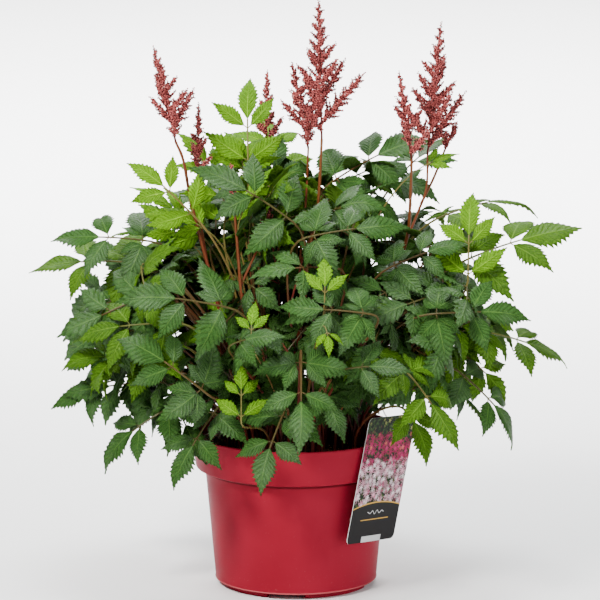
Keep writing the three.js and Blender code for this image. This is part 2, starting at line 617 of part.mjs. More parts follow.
function leafGeometry(leaf) {
  const axes = leafAxes(leaf);
  const { points, faces, start } = leafSheet(leaf);
  const positions = [];
  for (const side of [1, -1]) {
    for (const p of points) positions.push(...bent(leaf, axes, p.along, p.across, side * p.half));
  }
  const under = points.length;
  const triangles = [];
  const edges = new Set(faces.flatMap(([a, b, c]) => [`${a} ${b}`, `${b} ${c}`, `${c} ${a}`]));
  for (const [a, b, c] of faces) {
    triangles.push(a, b, c, under + a, under + c, under + b);
    for (const [from, to] of [[a, b], [b, c], [c, a]]) {
      const isStart = from === start.left && to === start.right;
      if (edges.has(`${to} ${from}`) || isStart) continue;
      triangles.push(under + from, under + to, to, under + from, to, from);
    }
  }

  // The petiole or stalk carries on from the four corners at the start of the rib
  const centres = leaf.from ? stalkCentres(leaf, axes) : petioleCentres(leaf, axes);
  const thick = leaf.from ? SPRAY.foot : LEAF.stalk;
  let ring = [under + start.left, under + start.right, start.right, start.left];
  centres.forEach((centre, i) => {
    const before = i === 0 ? bent(leaf, axes, RIB.start * leaf.size, 0, 0) : centres[i - 1];
    const after = centres[Math.min(i + 1, centres.length - 1)];
    const ahead = before.clone().sub(after).normalize();
    const left = axes.left.clone().addScaledVector(ahead, -axes.left.dot(ahead)).normalize();
    const up = ahead.clone().cross(left);
    const half = THREE.MathUtils.lerp(LEAF.neck, thick, i / (centres.length - 1)) / 2;
    const next = [[1, -1], [-1, -1], [-1, 1], [1, 1]].map(([l, u]) => {
      const p = centre.clone().addScaledVector(left, l * half).addScaledVector(up, u * half);
      return positions.push(...p) / 3 - 1;
    });
    for (let j = 0; j < 4; j++) {
      const k = (j + 1) % 4;
      triangles.push(ring[j], ring[k], next[k], ring[j], next[k], next[j]);
    }
    ring = next;
  });
  triangles.push(ring[0], ring[1], ring[2], ring[0], ring[2], ring[3]);
  return geometryOf(positions, triangles);
}

function petioleHole(leaf) {
  const { left } = leafAxes(leaf);
  const across = LEAF.stalk + 2 * CLEAR;
  const hole = new THREE.BoxGeometry(across, across, LEAF.hole);
  hole.rotateZ(Math.atan2(left.y, left.x));
  const foot = petioleFoot(leaf);
  return hole.translate(foot.x, foot.y, foot.z - CLEAR + LEAF.hole / 2);
}

// ---- flower stems and plumes ------------------------------------------------------------------

// A tapering stem along its path; it stops just short of the plume on top of it
function stemTube(path, from, to) {
  const centres = path.map(vec);
  const last = centres.length - 1;
  centres[last].addScaledVector(centres[last].clone().sub(centres[last - 1]).normalize(), -CLEAR);
  const radiusAt = (i) => THREE.MathUtils.lerp(from, to, i / last);
  return ringTube(centres, STEM.sides, new THREE.Vector3(1, 0.2, 0), radiusAt);
}

function stemGeometry(stem) {
  const main = stemTube(stem.path, STEM.foot, STEM.top);
  return joined([main, ...stem.shoots.map((path) => stemTube(path, STEM.shoot, STEM.shoot))]);
}

function stemHole(stem) {
  const [x, y, z] = stem.path[0];
  const radius = STEM.foot + 2 * CLEAR;
  const hole = new THREE.CylinderGeometry(radius, radius, LEAF.hole, STEM.sides);
  return hole.rotateX(Math.PI / 2).translate(x, y, z - CLEAR + LEAF.hole / 2);
}

// A tapering spike of florets: each ring's corners stand out and draw in by turns
function spike(from, to, thickness, sides, rings) {
  const centres = Array.from({ length: rings + 1 }, (_, i) => from.clone().lerp(to, i / rings));
  const ahead = to.clone().sub(from).normalize();
  const side = Math.abs(ahead.z) > 0.9 ? new THREE.Vector3(1, 0, 0) : new THREE.Vector3(0, 0, 1);
  const radiusAt = (i, j) => {
    const taper = 1 - 0.72 * (i / rings) ** 1.4;
    const floret = i === 0 ? 0.25 : 0.62 + 0.5 * ((i + j) % 2);
    return thickness * taper * floret;
  };
  return ringTube(centres, sides, side, radiusAt, true);
}

function plumeGeometry(plume, number) {
  const foot = vec(plume.foot);
  const tip = vec(plume.tip);
  const height = foot.distanceTo(tip);
  const coreRings = Math.max(4, Math.round(height / PLUME.floretPitch));
  const parts = [spike(foot, tip, PLUME.core, 3, coreRings)];
  for (let i = 0; i < plume.branches; i++) {
    const up = PLUME.lowest + PLUME.span * (i / plume.branches);
    const from = foot.clone().lerp(tip, up);
    const bearing = PLUME.turn * i + PLUME.start * number;
    const [least, more] = PLUME.uneven;
    const share = least + more * chance(PLUME.seedStep * number + i);
    const reach = plume.reach * (1 - up) ** PLUME.taper * share;
    const to = from.clone().addScaledVector(outward(bearing), reach);
    to.z += reach * Math.tan(rad(PLUME.lift));
    const [, rings] = PLUME.rings.findLast(([over]) => reach >= over);
    parts.push(spike(from, to, PLUME.branch * (1 - PLUME.thinning * up), 3, rings));
  }
  return joined(parts);
}

// ---- the whole plant --------------------------------------------------------------------------

const plant = new THREE.Group();
const holes = [...LEAVES.map(petioleHole), ...STEMS.map(stemHole)];
plant.add(mesh('pot', potGeometry(), 'pot', 0.45));
plant.add(mesh('soil', soilGeometry(holes), 'soil', 0.95));
plant.add(tagMesh());
plant.add(loopMesh());
LEAVES.forEach((leaf, i) => {
  const name = `leaf_${String(i + 1).padStart(2, '0')}`;
  const sprays = SPRAYS.filter((spray) => spray.from === i + 1).map(leafGeometry);
  plant.add(mesh(name, joined([leafGeometry(leaf), ...sprays]), leaf.tone, 0.5));
});
for (const stem of STEMS) plant.add(mesh(stem.name, stemGeometry(stem), 'stem', 0.55));
PLUMES.forEach((plume, i) => plant.add(mesh(plume.name, plumeGeometry(plume, i), 'plume', 0.8)));
plant.position.set(...POT_AXIS, 0);

export default plant;
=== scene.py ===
import math

import bpy
import numpy as np
from mathutils import Matrix, Vector
from mathutils.geometry import tessellate_polygon


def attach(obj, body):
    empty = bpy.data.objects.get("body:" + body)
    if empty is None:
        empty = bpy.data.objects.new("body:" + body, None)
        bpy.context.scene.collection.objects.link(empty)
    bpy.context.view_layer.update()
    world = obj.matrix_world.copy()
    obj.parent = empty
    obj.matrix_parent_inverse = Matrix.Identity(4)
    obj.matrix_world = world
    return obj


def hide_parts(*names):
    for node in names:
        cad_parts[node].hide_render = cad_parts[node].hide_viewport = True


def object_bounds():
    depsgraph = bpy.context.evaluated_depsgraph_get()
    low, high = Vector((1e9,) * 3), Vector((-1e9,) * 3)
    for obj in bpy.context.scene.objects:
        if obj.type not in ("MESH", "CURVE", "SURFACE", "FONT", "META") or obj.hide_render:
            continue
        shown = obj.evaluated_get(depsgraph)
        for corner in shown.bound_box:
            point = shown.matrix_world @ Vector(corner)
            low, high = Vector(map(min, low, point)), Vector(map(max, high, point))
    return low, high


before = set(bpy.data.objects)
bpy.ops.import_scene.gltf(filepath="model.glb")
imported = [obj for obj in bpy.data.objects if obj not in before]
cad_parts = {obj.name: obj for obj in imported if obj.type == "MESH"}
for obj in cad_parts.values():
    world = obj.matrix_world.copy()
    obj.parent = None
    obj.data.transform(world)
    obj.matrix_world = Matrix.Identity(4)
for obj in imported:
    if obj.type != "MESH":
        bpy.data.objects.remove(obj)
CAD_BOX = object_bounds()

# A potted astilbe in bud. Everything is drawn in millimetres about the pot's axis, as in the part's
# own source, and Heap.piece() sets it in its place in metres.
MM = 0.001
POT_AXIS = np.array([-7.3, -25.5, 0.0])

# ---- sizes and places, in millimetres and degrees ----------------------------------------------

# One row a leaf: bearing of its petiole (0 = front, 90 = right), reach and height of its first pair
# of leaflets, where the rib points there (heading, rise), roll of the blade, leaflet length, pairs
# of side leaflets and tone.
LEAVES = [
    (-66, 101, 346, -86, 46, -76, 44, 2, "young"),
    (-102, 44, 384, 182, 78, 0, 48, 2, "young"),
    (-86, 136, 316, -90, 8, -42, 50, 2, "dark"),
    (-98, 152, 290, -96, 4, -30, 54, 2, "mid"),
    (-30, 127, 276, -74, 16, -48, 54, 2, "dark"),
    (-60, 130, 252, -88, 0, -42, 54, 2, "mid"),
    (-74, 138, 212, -86, 10, -38, 46, 2, "mid"),
    (-92, 146, 190, -94, -14, -28, 48, 2, "dark"),
    (-38, 134, 200, -88, 40, -62, 52, 2, "dark"),
    (-66, 124, 172, -76, -26, -24, 48, 2, "dark"),
    (-40, 112, 176, -46, -40, -12, 46, 2, "mid"),
    (10, 84, 334, 84, 14, 48, 48, 2, "dark"),
    (-7, 64, 347, -84, 38, -50, 54, 2, "dark"),
    (25, 142, 274, -92, 8, -46, 44, 2, "mid"),
    (-19, 154, 252, 62, 22, 46, 38, 1, "mid"),
    (2, 132, 232, 0, -46, 0, 48, 2, "dark"),
    (-6, 108, 178, -26, -38, -6, 44, 2, "mid"),
    (14, 110, 196, 26, -42, 6, 42, 1, "dark"),
    (62, 98, 300, 90, 26, 42, 40, 2, "dark"),
    (86, 156, 300, 92, 24, 34, 60, 2, "mid"),
    (76, 158, 290, 174, 84, 0, 44, 2, "young"),
    (56, 148, 264, 86, 6, 52, 50, 2, "dark"),
    (22, 150, 228, 74, 8, 44, 42, 1, "dark"),
    (82, 168, 236, 92, -10, 24, 50, 2, "mid"),
    (38, 156, 222, 52, -38, 14, 48, 2, "mid"),
    (68, 160, 204, 80, -38, 20, 48, 2, "dark"),
    (52, 126, 172, 54, -44, 10, 44, 1, "mid"),
    (118, 40, 366, 92, 34, 40, 54, 2, "dark"),
    (215, 30, 366, 184, 62, 0, 46, 1, "dark"),
    (106, 140, 330, 112, 18, 0, 52, 2, "mid"),
    (132, 120, 352, 140, 34, 0, 50, 2, "dark"),
    (160, 114, 316, 164, 16, 0, 54, 2, "mid"),
    (190, 104, 360, 190, 40, 0, 50, 2, "young"),
    (216, 118, 322, 214, 16, 0, 52, 2, "dark"),
    (240, 118, 300, 230, 12, 0, 52, 2, "mid"),
    (118, 142, 236, 118, -12, 0, 52, 2, "dark"),
    (144, 132, 196, 148, -24, 0, 54, 2, "mid"),
    (174, 138, 246, 174, -8, 0, 54, 2, "dark"),
    (204, 130, 192, 206, -24, 0, 52, 2, "mid"),
    (234, 142, 240, 236, -10, 0, 52, 2, "dark"),
]
# The leaves listed in SHADED get the dark tone's colours as painted shade.
SHADED = (11, 14, 15, 17)  # leaves near the middle that look darker than the others of their tone
YOUNG_SPREAD, YOUNG_BREADTH = 0.76, 0.8  # young leaves have not opened fully, and are narrower
DROOP = 26  # how far a blade bends down from its first pair to its tip
ARCH_RADIUS = 120  # of its bend from side to side

# Along the rib, in leaflet lengths from the first pair: its start, the second pair and, from the last
# pair on, its end
RIB_START, SECOND_PAIR, RIB_END = -0.12, 0.62, 0.2
# Side leaflets: place along the rib, angle to it and length
FIRST_SIDE, SECOND_SIDE, ONLY_SIDE = (0.025, 76, 1.04), (SECOND_PAIR + 0.025, 62, 0.86), (0.025, 60, 0.9)
END_LEAFLET = 1.04
SIDE_STALK, TRIO_STALK = 0.07, 0.11  # in leaflet lengths as well
TRIO_ANGLE, TRIO_SIZES = 54, (0.46, 0.66)  # of the outer two leaflets of a trio
SINGLES = 0.3  # share of the first leaflets of open leaves that are no trios
LENGTHS, BREADTHS = (0.93, 1.07), (0.24, 0.285)  # of leaflets; half their width, as a share of length
WOBBLE = 7  # how far leaflets turn from their form's angle

# Petioles stand on rings round the crown, the low leaves' on the outer one
OUTER_RING, INNER_RING, LOW_LEAF, RISE_OF_LEAVES = 68, 22, 170, 210
HOLE_DEPTH, COLLAR = 13, 4  # below the soil, and straight above it
PETIOLE_BOW = {"up": 0.42, "back": 0.18}  # handles of its curve, as shares of its span
SPRAY_BOW = {"out": 0.3, "up": 0.12, "back": 0.25}
STALK_SHARES = (0, 0.1, 0.75, 1)  # places along a whole stalk, and its radii there
PETIOLE_RADII, SPRAY_RADII = (1.6, 1.4, 1.05, 0.7), (1.0, 0.9, 0.7, 0.5)
SIDE_RADII, TRIO_RADII = (0.55, 0.4), (0.7, 0.6, 0.5)
RIB_SIDE = 0.6  # from the rib's middle to where side leaflets leave it
FULL_SIZE = 42  # leaflet length from which the stalk is that thick

SOIL_LEVEL, SOIL_DOME = 128, 4

# Side sprays: number of the leaf whose petiole each forks off, the stretch of it, then as above
SPRAYS = [
    (32, 1, 146, 96, 292, 140, 10, 0, 52),
    (34, 1, 200, 90, 286, 196, 12, 0, 52),
    (31, 1, 118, 78, 322, 108, 20, 0, 50),
    (35, 1, 257, 84, 301, 264, 14, 0, 50),
    (32, 1, 176, 60, 332, 168, 34, 0, 50),
    (34, 1, 228, 66, 338, 226, 30, 0, 48),
    (38, 1, 160, 104, 216, 160, -16, 0, 52),
    (40, 1, 220, 104, 212, 222, -16, 0, 52),
    (28, 1, 100, 52, 350, 84, 30, 0, 48),
    (29, 1, 250, 44, 352, 250, 36, 0, 46),
    (12, 1, 36, 56, 350, 60, 28, 30, 46),
    (8, 1, -112, 116, 182, -110, -20, 0, 48),
    (10, 1, -74, 116, 178, -76, -24, -20, 46),
    (26, 1, 86, 136, 184, 92, -30, 0, 48),
    (36, 1, 106, 124, 206, 106, -22, 0, 48),
    (16, 1, -17, 101, 251, -26, -12, -3, 46),
    (25, 1, 34, 111, 232, 35, -23, 10, 44),
    (29, 1, 249, 34, 286, 207, 54, 3, 41),
    (28, 2, 124, 38, 284, 160, 48, 0, 42),
]
PETIOLE_PLACES = (0.33, 0.68, 1.0)  # shares of the way down where the part's own petiole is drawn

# Small bright shoots between the leaves, in the same columns
SHOOTS = [
    (12, 122, 290, 176, 74, 0, 30, 1, "young"),
    (10, 156, 262, 10, -30, 0, 22, 1, "young"),
    (-15, 150, 262, 176, 62, 0, 24, 1, "young"),
    (-21, 134, 180, 180, 78, 0, 30, 2, "young"),
    (84, 118, 386, 96, 26, 30, 26, 1, "young"),
    (-96, 66, 352, -110, 66, -30, 40, 2, "young"),
    (-74, 86, 330, -84, 34, -50, 36, 1, "young"),
    (-112, 50, 372, 150, 64, 0, 40, 1, "young"),
    (-64, 52, 346, 120, 62, 10, 38, 1, "young"),
    (-90, 64, 330, 170, 62, 0, 46, 2, "young"),
    (-104, 42, 350, -150, 70, 0, 44, 2, "young"),
    (-97, 85, 316, -80, 48, -40, 44, 2, "young"),
    (-90, 104, 322, -96, 40, -60, 40, 1, "young"),
]

# Flower stems: the points each follows up from its hole, and the side shoots that leave it
STEMS = {
    "flower_stem_left": (
        [(-38, -14, 115), (-38, -14, 140), (-54, -20, 195), (-70, -24, 262), (-80, -24, 301),
         (-93, -22, 351), (-100, -22, 390), (-107, -22, 408)],
        [[(-79, -24, 298), (-84, -12, 325), (-87, 2, 352), (-88, 6, 370)]],
    ),
    "flower_stem_back": (
        [(-12, 38, 115), (-12, 38, 140), (-18, 58, 210), (-24, 74, 300), (-27, 80, 386)], [],
    ),
    "flower_stem_dark": (
        [(-24, -32, 115), (-24, -32, 140), (-38, -42, 200), (-48, -46, 272), (-51, -46, 305),
         (-55, -46, 358)],
        [[(-49, -46, 282), (-38, -37, 305), (-27, -26, 328)]],
    ),
    "flower_stem_middle": (
        [(0, -8, 115), (0, -8, 140), (2, -10, 200), (4, -10, 262), (14, -10, 317), (20, -10, 353),
         (23, -10, 408)],
        [[(4, -10, 268), (4, 0, 300), (9, 10, 350), (11, 12, 396)]],
    ),
    "flower_stem_right": (
        [(36, 14, 115), (36, 14, 140), (54, 14, 190), (80, 10, 255), (99, 2, 314), (102, -10, 350),
         (103, -20, 392)],
        [[(98, 2, 311), (110, 8, 340), (117, 13, 360), (118, 15, 390)],
         [(112, 8, 346), (124, 21, 368), (134, 29, 392)]],
    ),
}
STEM_RADII, SHOOT_RADII = (2.3, 1.8, 1.2), (1.25, 0.95)  # from foot to tip

# Plumes: foot, tip, reach of the lowest branches, number of branches
PLUMES = {
    "plume_left": ((-107, -22, 408), (-127, -22, 496), 30, 11),
    "plume_left_low": ((-88, 6, 370), (-87, 8, 440), 18, 8),
    "plume_back": ((-27, 80, 386), (-26, 80, 458), 20, 8),
    "plume_dark": ((-55, -46, 358), (-58, -46, 394), 12, 5),
    "plume_dark_low": ((-27, -26, 328.4), (-24, -24, 352), 8, 4),
    "plume_middle": ((23, -10, 408), (20, -10, 537), 42, 15),
    "plume_middle_low": ((11, 12, 396), (-4, 12, 476), 30, 9),
    "plume_right_near": ((103, -20, 392), (91, -20, 473), 24, 9),
    "plume_right": ((118, 15, 390), (130, 15, 512), 40, 14),
    "plume_right_low": ((134, 29, 392), (146, 34, 418), 10, 4),
}
BRANCH_TURN, BRANCH_START, BRANCH_LIFT, BRANCH_TAPER = 137.5, 60, 50, 1.35
BRANCHES_FROM, BRANCHES_OVER = 0.06, 0.8  # where the lowest starts, and how far up the others go
UNEVEN = (0.86, 0.28)  # least share of its reach that a branch has, and how much more by chance
SEED_STEP = 31  # keeps the chances of one plume apart from those of the next
TWIG_GAP, SPIKE_GAP = 2.0, 2.9  # between the twigs of a branch, and the side spikes of a plume
SPIKES_FROM, SPIKES_OVER = 0.32, 0.62
SPIKE_BEARINGS = (90, 268, 15, 94, 272, 195)
SPINDLE = 1.25  # thickness of a twig or side spike
SMALL_PLUME = 15  # reach of a plume that is still closed
BUD_SIDES = 4
BUD_AREA = 3.7  # of a branch's surface to a bud, in square millimetres
BUD_LENGTHS = (1.65, 2.1)
BUD_WAIST = (0.54, 0.56)  # radius and height of its widest ring, as shares of its length

# The pot: its rim, the lower edge of the band, the shoulder under it, the base, the wall and four feet
POT_HEIGHT, RIM_RADIUS = 141, 95
BAND_RADIUS, BAND_BOTTOM = 90.5, 109
SHOULDER_RADIUS, SHOULDER_HEIGHT = 82, 106
BASE_RADIUS, WALL = 72.8, 1.8
FOOT_RADIUS, FOOT_WIDTH, FOOT_HEIGHT = 67, 5, 5
FOOT_BEARINGS, FOOT_SWEEP = (-53, 37, 127, 217), 60
INNER_FLOOR = 30  # radius of the flat middle of the floor
CRUMBS, CRUMB_SIZES = 1500, (0.25, 2.4)
PALE_CRUMBS = 0.012  # their share

TAG_WIDTH, TAG_LENGTH, TAG_THICKNESS, TAG_CORNER = 73, 117, 0.6, 5
TAG_BEARING, TAG_LEAN, TAG_TURN, TAG_BOTTOM = 53, 8, -6.5, 49
TAG_HOLES = ((4.5, 104), (25, 109.5))
TAG_HOLE_RADIUS = 2.4

# ---- camera, light and floor -------------------------------------------------------------------

CAMERA_ELEVATION = math.radians(11.5)
CAMERA_DISTANCE = 5.0
FRAME_WIDTH = 0.539  # metres across the view at the middle of the plant
AIM = Vector((0.0036, 0.0, 0.2597)) + Vector(POT_AXIS) * MM
FLOOR_HALF = 12.0  # in metres


def make_camera():
    data = bpy.data.cameras.new("camera")
    data.sensor_width = 36
    data.lens = data.sensor_width * CAMERA_DISTANCE / FRAME_WIDTH
    data.clip_end = 30
    camera = bpy.data.objects.new("camera", data)
    back = Vector((0, -math.cos(CAMERA_ELEVATION), math.sin(CAMERA_ELEVATION)))
    camera.location = AIM + CAMERA_DISTANCE * back
    camera.rotation_euler = back.to_track_quat("Z", "Y").to_euler()
    bpy.context.scene.collection.objects.link(camera)
    bpy.context.scene.camera = camera


def make_light(name, place, size, watts, colour=(1, 1, 1), aim=(0, 0, 0.25)):
    data = bpy.data.lights.new(name, "AREA")
    data.shape = "DISK"
    data.size = size
    data.energy = watts
    data.color = colour
    light = bpy.data.objects.new(name, data)
    light.location = place
    light.rotation_euler = (Vector(place) - Vector(aim)).to_track_quat("Z", "Y").to_euler()
    bpy.context.scene.collection.objects.link(light)


def make_studio():
    world = bpy.data.worlds.new("studio")
    world.use_nodes = True
    world.node_tree.nodes["Background"].inputs["Color"].default_value = (0.94, 0.97, 1, 1)
    world.node_tree.nodes["Background"].inputs["Strength"].default_value = 0.34
    bpy.context.scene.world = world
    make_light("key", (-1.1, -1.5, 1.9), 0.55, 112, (1, 0.98, 0.95))
    make_light("fill", (1.7, -1.5, 0.9), 1.2, 29)
    make_light("top", (0.1, 0.1, 2.2), 1.0, 54, (0.96, 0.99, 1))
    make_light("backdrop", (0, 2.3, 1.9), 2.6, 420, aim=(0, 3.3, 0))


# ---- mesh tools --------------------------------------------------------------------------------


class Heap:
    """Vertices, faces, UVs and facts of many small bodies that become one mesh. A vertex's facts are
    a chance for its tone, 1 on an under or back side or a pale crumb, and its leaflet's teeth."""

    def __init__(self):
        self.points, self.faces, self.slots, self.uvs, self.facts = [], [], [], [], []
        self.count = 0

    def add(self, points, faces, uv, facts, slot=0):
        """faces is a list of index arrays, each of triangles or of quads, with one slot or a slot each."""
        points = np.asarray(points, float).reshape(-1, 3)
        for part, its_slot in zip(faces, np.broadcast_to(slot, len(faces))):
            part = np.asarray(part)
            self.faces.append(part + self.count)
            self.slots.append(np.full(len(part), its_slot))
        self.points.append(points)
        self.uvs.append(np.broadcast_to(uv, (len(points), 2)))
        self.facts.append(np.broadcast_to(facts, (len(points), 3)))
        self.count += len(points)

    def piece(self, name, materials, smooth=True):
        mesh = bpy.data.meshes.new(name)
        corners = np.concatenate([f.ravel() for f in self.faces])
        sizes = np.concatenate([np.full(len(f), f.shape[1]) for f in self.faces])
        mesh.vertices.add(self.count)
        mesh.loops.add(len(corners))
        mesh.polygons.add(len(sizes))
        mesh.vertices.foreach_set("co", ((np.concatenate(self.points) + POT_AXIS) * MM).ravel())
        mesh.loops.foreach_set("vertex_index", corners)
        mesh.polygons.foreach_set("loop_start", np.concatenate([[0], np.cumsum(sizes)[:-1]]))
        mesh.polygons.foreach_set("loop_total", sizes)
        mesh.polygons.foreach_set("material_index", np.concatenate(self.slots))
        mesh.polygons.foreach_set("use_smooth", np.full(len(sizes), smooth))
        layer = mesh.uv_layers.new(name="shape")
        layer.data.foreach_set("uv", np.concatenate(self.uvs)[corners].ravel())
        facts = mesh.attributes.new("facts", "FLOAT_VECTOR", "POINT")
        facts.data.foreach_set("vector", np.concatenate(self.facts).ravel())
        mesh.update(calc_edges=True)
        mesh.validate()
        for material in materials:
            mesh.materials.append(material)
        obj = bpy.data.objects.new(name, mesh)
        bpy.context.scene.collection.objects.link(obj)
        return obj


def finish_piece(obj, slot, *nodes):
    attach(obj, "root")
    if nodes:
        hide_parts(*nodes)


def unit(v):
    v = np.asarray(v, float)
    return v / np.maximum(np.linalg.norm(v, axis=-1, keepdims=True), 1e-12)


def outward(bearing):
    a = math.radians(bearing)
    return np.array([math.sin(a), -math.cos(a), 0.0])


def smooth_path(points, steps):
    """A Catmull-Rom curve through the points, with that many steps a stretch."""
    p = np.asarray(points, float)
    p = np.vstack([2 * p[0] - p[1], p, 2 * p[-1] - p[-2]])
    t = np.arange(steps)[:, None] / steps
    rows = []
    for a, b, c, d in zip(p, p[1:], p[2:], p[3:]):
        rows.append(0.5 * (2 * b + (c - a) * t + (2 * a - 5 * b + 4 * c - d) * t**2
                           + (3 * b - a - 3 * c + d) * t**3))
    return np.vstack([*rows, p[-2][None]])


def tube(heap, centres, radii, sides, facts, slot=0, uv_from=0.0, uv_to=1.0):
    """A round tube with closed ends; its UV runs round and along."""
    centres = np.asarray(centres, float)
    n = len(centres)
    radii = np.broadcast_to(radii, n)
    ahead = unit(np.gradient(centres, axis=0))
    aside = np.array([0.31, 0.95, 0.05])  # a way that no tube follows
    across = unit(aside - (ahead @ aside)[:, None] * ahead)
    up = np.cross(ahead, across)
    angle = 2 * math.pi * np.arange(sides) / sides
    ring = np.cos(angle)[None, :, None] * across[:, None] + np.sin(angle)[None, :, None] * up[:, None]
    points = centres[:, None] + radii[:, None, None] * ring
    i, j = np.meshgrid(np.arange(n - 1), np.arange(sides), indexing="ij")
    a, b = i * sides + j, i * sides + (j + 1) % sides
    quads = np.stack([a, b, b + sides, a + sides], -1).reshape(-1, 4)
    tips = np.array([centres[0], centres[-1]])
    j = np.arange(sides)
    last = (n - 1) * sides
    caps = np.vstack([
        np.stack([(j + 1) % sides, j, np.full(sides, n * sides)], -1),
        np.stack([last + j, last + (j + 1) % sides, np.full(sides, n * sides + 1)], -1),
    ])
    along = np.repeat(np.linspace(uv_from, uv_to, n), sides)
    round_ = np.tile(np.arange(sides) / sides, n)
    uv = np.vstack([np.stack([round_, along], -1), [[0, uv_from], [0, uv_to]]])
    heap.add(np.vstack([points.reshape(-1, 3), tips]), [quads, caps], uv, facts, slot)


def lathe(profile, sides):
    """Points and quads of a closed profile of (radius, height) turned about Z."""
    profile = np.asarray(profile, float)
    n = len(profile)
    angle = 2 * math.pi * np.arange(sides) / sides
    x = profile[:, 0][:, None] * np.sin(angle)[None]
    y = -profile[:, 0][:, None] * np.cos(angle)[None]
    z = np.broadcast_to(profile[:, 1][:, None], x.shape)
    i, j = np.meshgrid(np.arange(n), np.arange(sides), indexing="ij")
    k, m = (i + 1) % n, (j + 1) % sides
    quads = np.stack([i * sides + j, i * sides + m, k * sides + m, k * sides + j], -1)
    return np.stack([x, y, z], -1).reshape(-1, 3), quads.reshape(-1, 4)


# ---- material tools ----------------------------------------------------------------------------


class Nodes:
    """Short names for building a node tree."""

    def __init__(self, tree):
        self.tree = tree

    def new(self, kind, inputs=None, **settings):
        node = self.tree.nodes.new(kind)
        for key, value in settings.items():
            setattr(node, key, value)
        for key, value in (inputs or {}).items():
            self.put(node.inputs[key], value)
        return node

    def put(self, socket, value):
        if isinstance(value, bpy.types.NodeSocket):
            self.tree.links.new(value, socket)
        elif isinstance(value, bpy.types.Node):
            self.tree.links.new(value.outputs[0], socket)
        else:
            socket.default_value = value

    def math(self, operation, *values):
        node = self.new("ShaderNodeMath", operation=operation)
        for socket, value in zip(node.inputs, values):
            self.put(socket, value)
        return node.outputs[0]

    def mix(self, share, first, second):
        node = self.new("ShaderNodeMix", data_type="RGBA")
        self.put(node.inputs[0], share)
        self.put(node.inputs[6], first)
        self.put(node.inputs[7], second)
        return node.outputs[2]

    def noise(self, scale, detail, roughness, at):
        return self.new("ShaderNodeTexNoise", {
            "Scale": scale, "Detail": detail, "Roughness": roughness, "Vector": at}).outputs["Fac"]

    def ramp(self, value, low, high, to_low=0.0, to_high=1.0):
        node = self.new("ShaderNodeMapRange", {
            "Value": value, "From Min": low, "From Max": high, "To Min": to_low, "To Max": to_high})
        node.interpolation_type = "SMOOTHSTEP"
        return node.outputs[0]

    def band(self, value, middle, half, edge):
        """1 where the value is within half of the middle, 0 outside."""
        off = self.math("ABSOLUTE", self.math("SUBTRACT", value, middle))
        return self.ramp(off, half, half + edge, 1.0, 0.0)

    def place(self):
        return self.new("ShaderNodeTexCoord").outputs["Object"]

    def uv(self):
        split = self.new("ShaderNodeSeparateXYZ", {0: self.new("ShaderNodeUVMap", uv_map="shape")})
        return split.outputs[0], split.outputs[1]

    def facts(self):
        read = self.new("ShaderNodeAttribute", attribute_name="facts")
        split = self.new("ShaderNodeSeparateXYZ", {0: read.outputs["Vector"]})
        return split.outputs[0], split.outputs[1], split.outputs[2]


def new_material(name):
    material = bpy.data.materials.new(name)
    material.use_nodes = True
    material.node_tree.nodes.clear()
    return material, Nodes(material.node_tree)


def principled(nodes, color, roughness, height, bump, distance, **values):
    """The shader of a material, with a bump of that strength and distance, and values of its own."""
    relief = nodes.new("ShaderNodeBump", {"Height": height, "Strength": bump, "Distance": distance})
    shader = nodes.new("ShaderNodeBsdfPrincipled", {
        "Base Color": color, "Roughness": roughness, "Normal": relief.outputs[0]})
    for key, value in values.items():
        shader.inputs[key.replace("_", " ")].default_value = value
    nodes.new("ShaderNodeOutputMaterial", {"Surface": shader.outputs[0]})
    return shader


def new_group(name, inputs, outputs):
    """A shader node group with its sockets: colours are tuples of four, the rest numbers. Outputs are
    numbers, but for Color."""
    tree = bpy.data.node_groups.new(name, "ShaderNodeTree")
    for key, value in inputs.items():
        kind = "NodeSocketColor" if isinstance(value, tuple) else "NodeSocketFloat"
        tree.interface.new_socket(name=key, in_out="INPUT", socket_type=kind).default_value = value
    for key in outputs:
        kind = "NodeSocketColor" if key == "Color" else "NodeSocketFloat"
        tree.interface.new_socket(name=key, in_out="OUTPUT", socket_type=kind)
    nodes = Nodes(tree)
    return tree, nodes, nodes.new("NodeGroupInput"), nodes.new("NodeGroupOutput")


def placed_group(nodes, group, values):
    """A group in a material's own tree, with that material's values."""
    surface = nodes.new("ShaderNodeGroup", node_tree=group)
    for key, value in values.items():
        surface.inputs[key].default_value = value
    return surface


def colour(red, green, blue):
    """A colour given as 0 to 255, as a linear one."""
    shares = [c / 255 for c in (red, green, blue)]
    return (*(((c + 0.055) / 1.055) ** 2.4 for c in shares), 1.0)


def mottle_group():
    """Two close tones mottled together, with a fine grain."""
    tree, n, given, out = new_group(
        "mottle",
        {"Low": (0.8, 0.8, 0.8, 1.0), "High": (0.9, 0.9, 0.9, 1.0), "Scale": 300.0, "Detail": 2.0,
         "Breakup": 0.5, "Gloss": 0.4},
        ("Color", "Roughness", "Height"),
    )
    grain = n.noise(given.outputs["Scale"], given.outputs["Detail"], given.outputs["Breakup"], n.place())
    n.put(out.inputs["Color"], n.mix(grain, given.outputs["Low"], given.outputs["High"]))
    n.put(out.inputs["Roughness"], n.math("ADD", given.outputs["Gloss"], n.math("MULTIPLY", grain, 0.1)))
    n.put(out.inputs["Height"], grain)
    return tree


def mottled_material(name, group, values, **own):
    """A smooth skin of two close tones. own holds values for the shader's own sockets."""
    material, n = new_material(name)
    surface = placed_group(n, group, values)
    principled(n, surface.outputs["Color"], surface.outputs["Roughness"], surface.outputs["Height"],
               0.1, 0.2 * MM, **own)
    return material


# ---- leaf materials ----------------------------------------------------------------------------


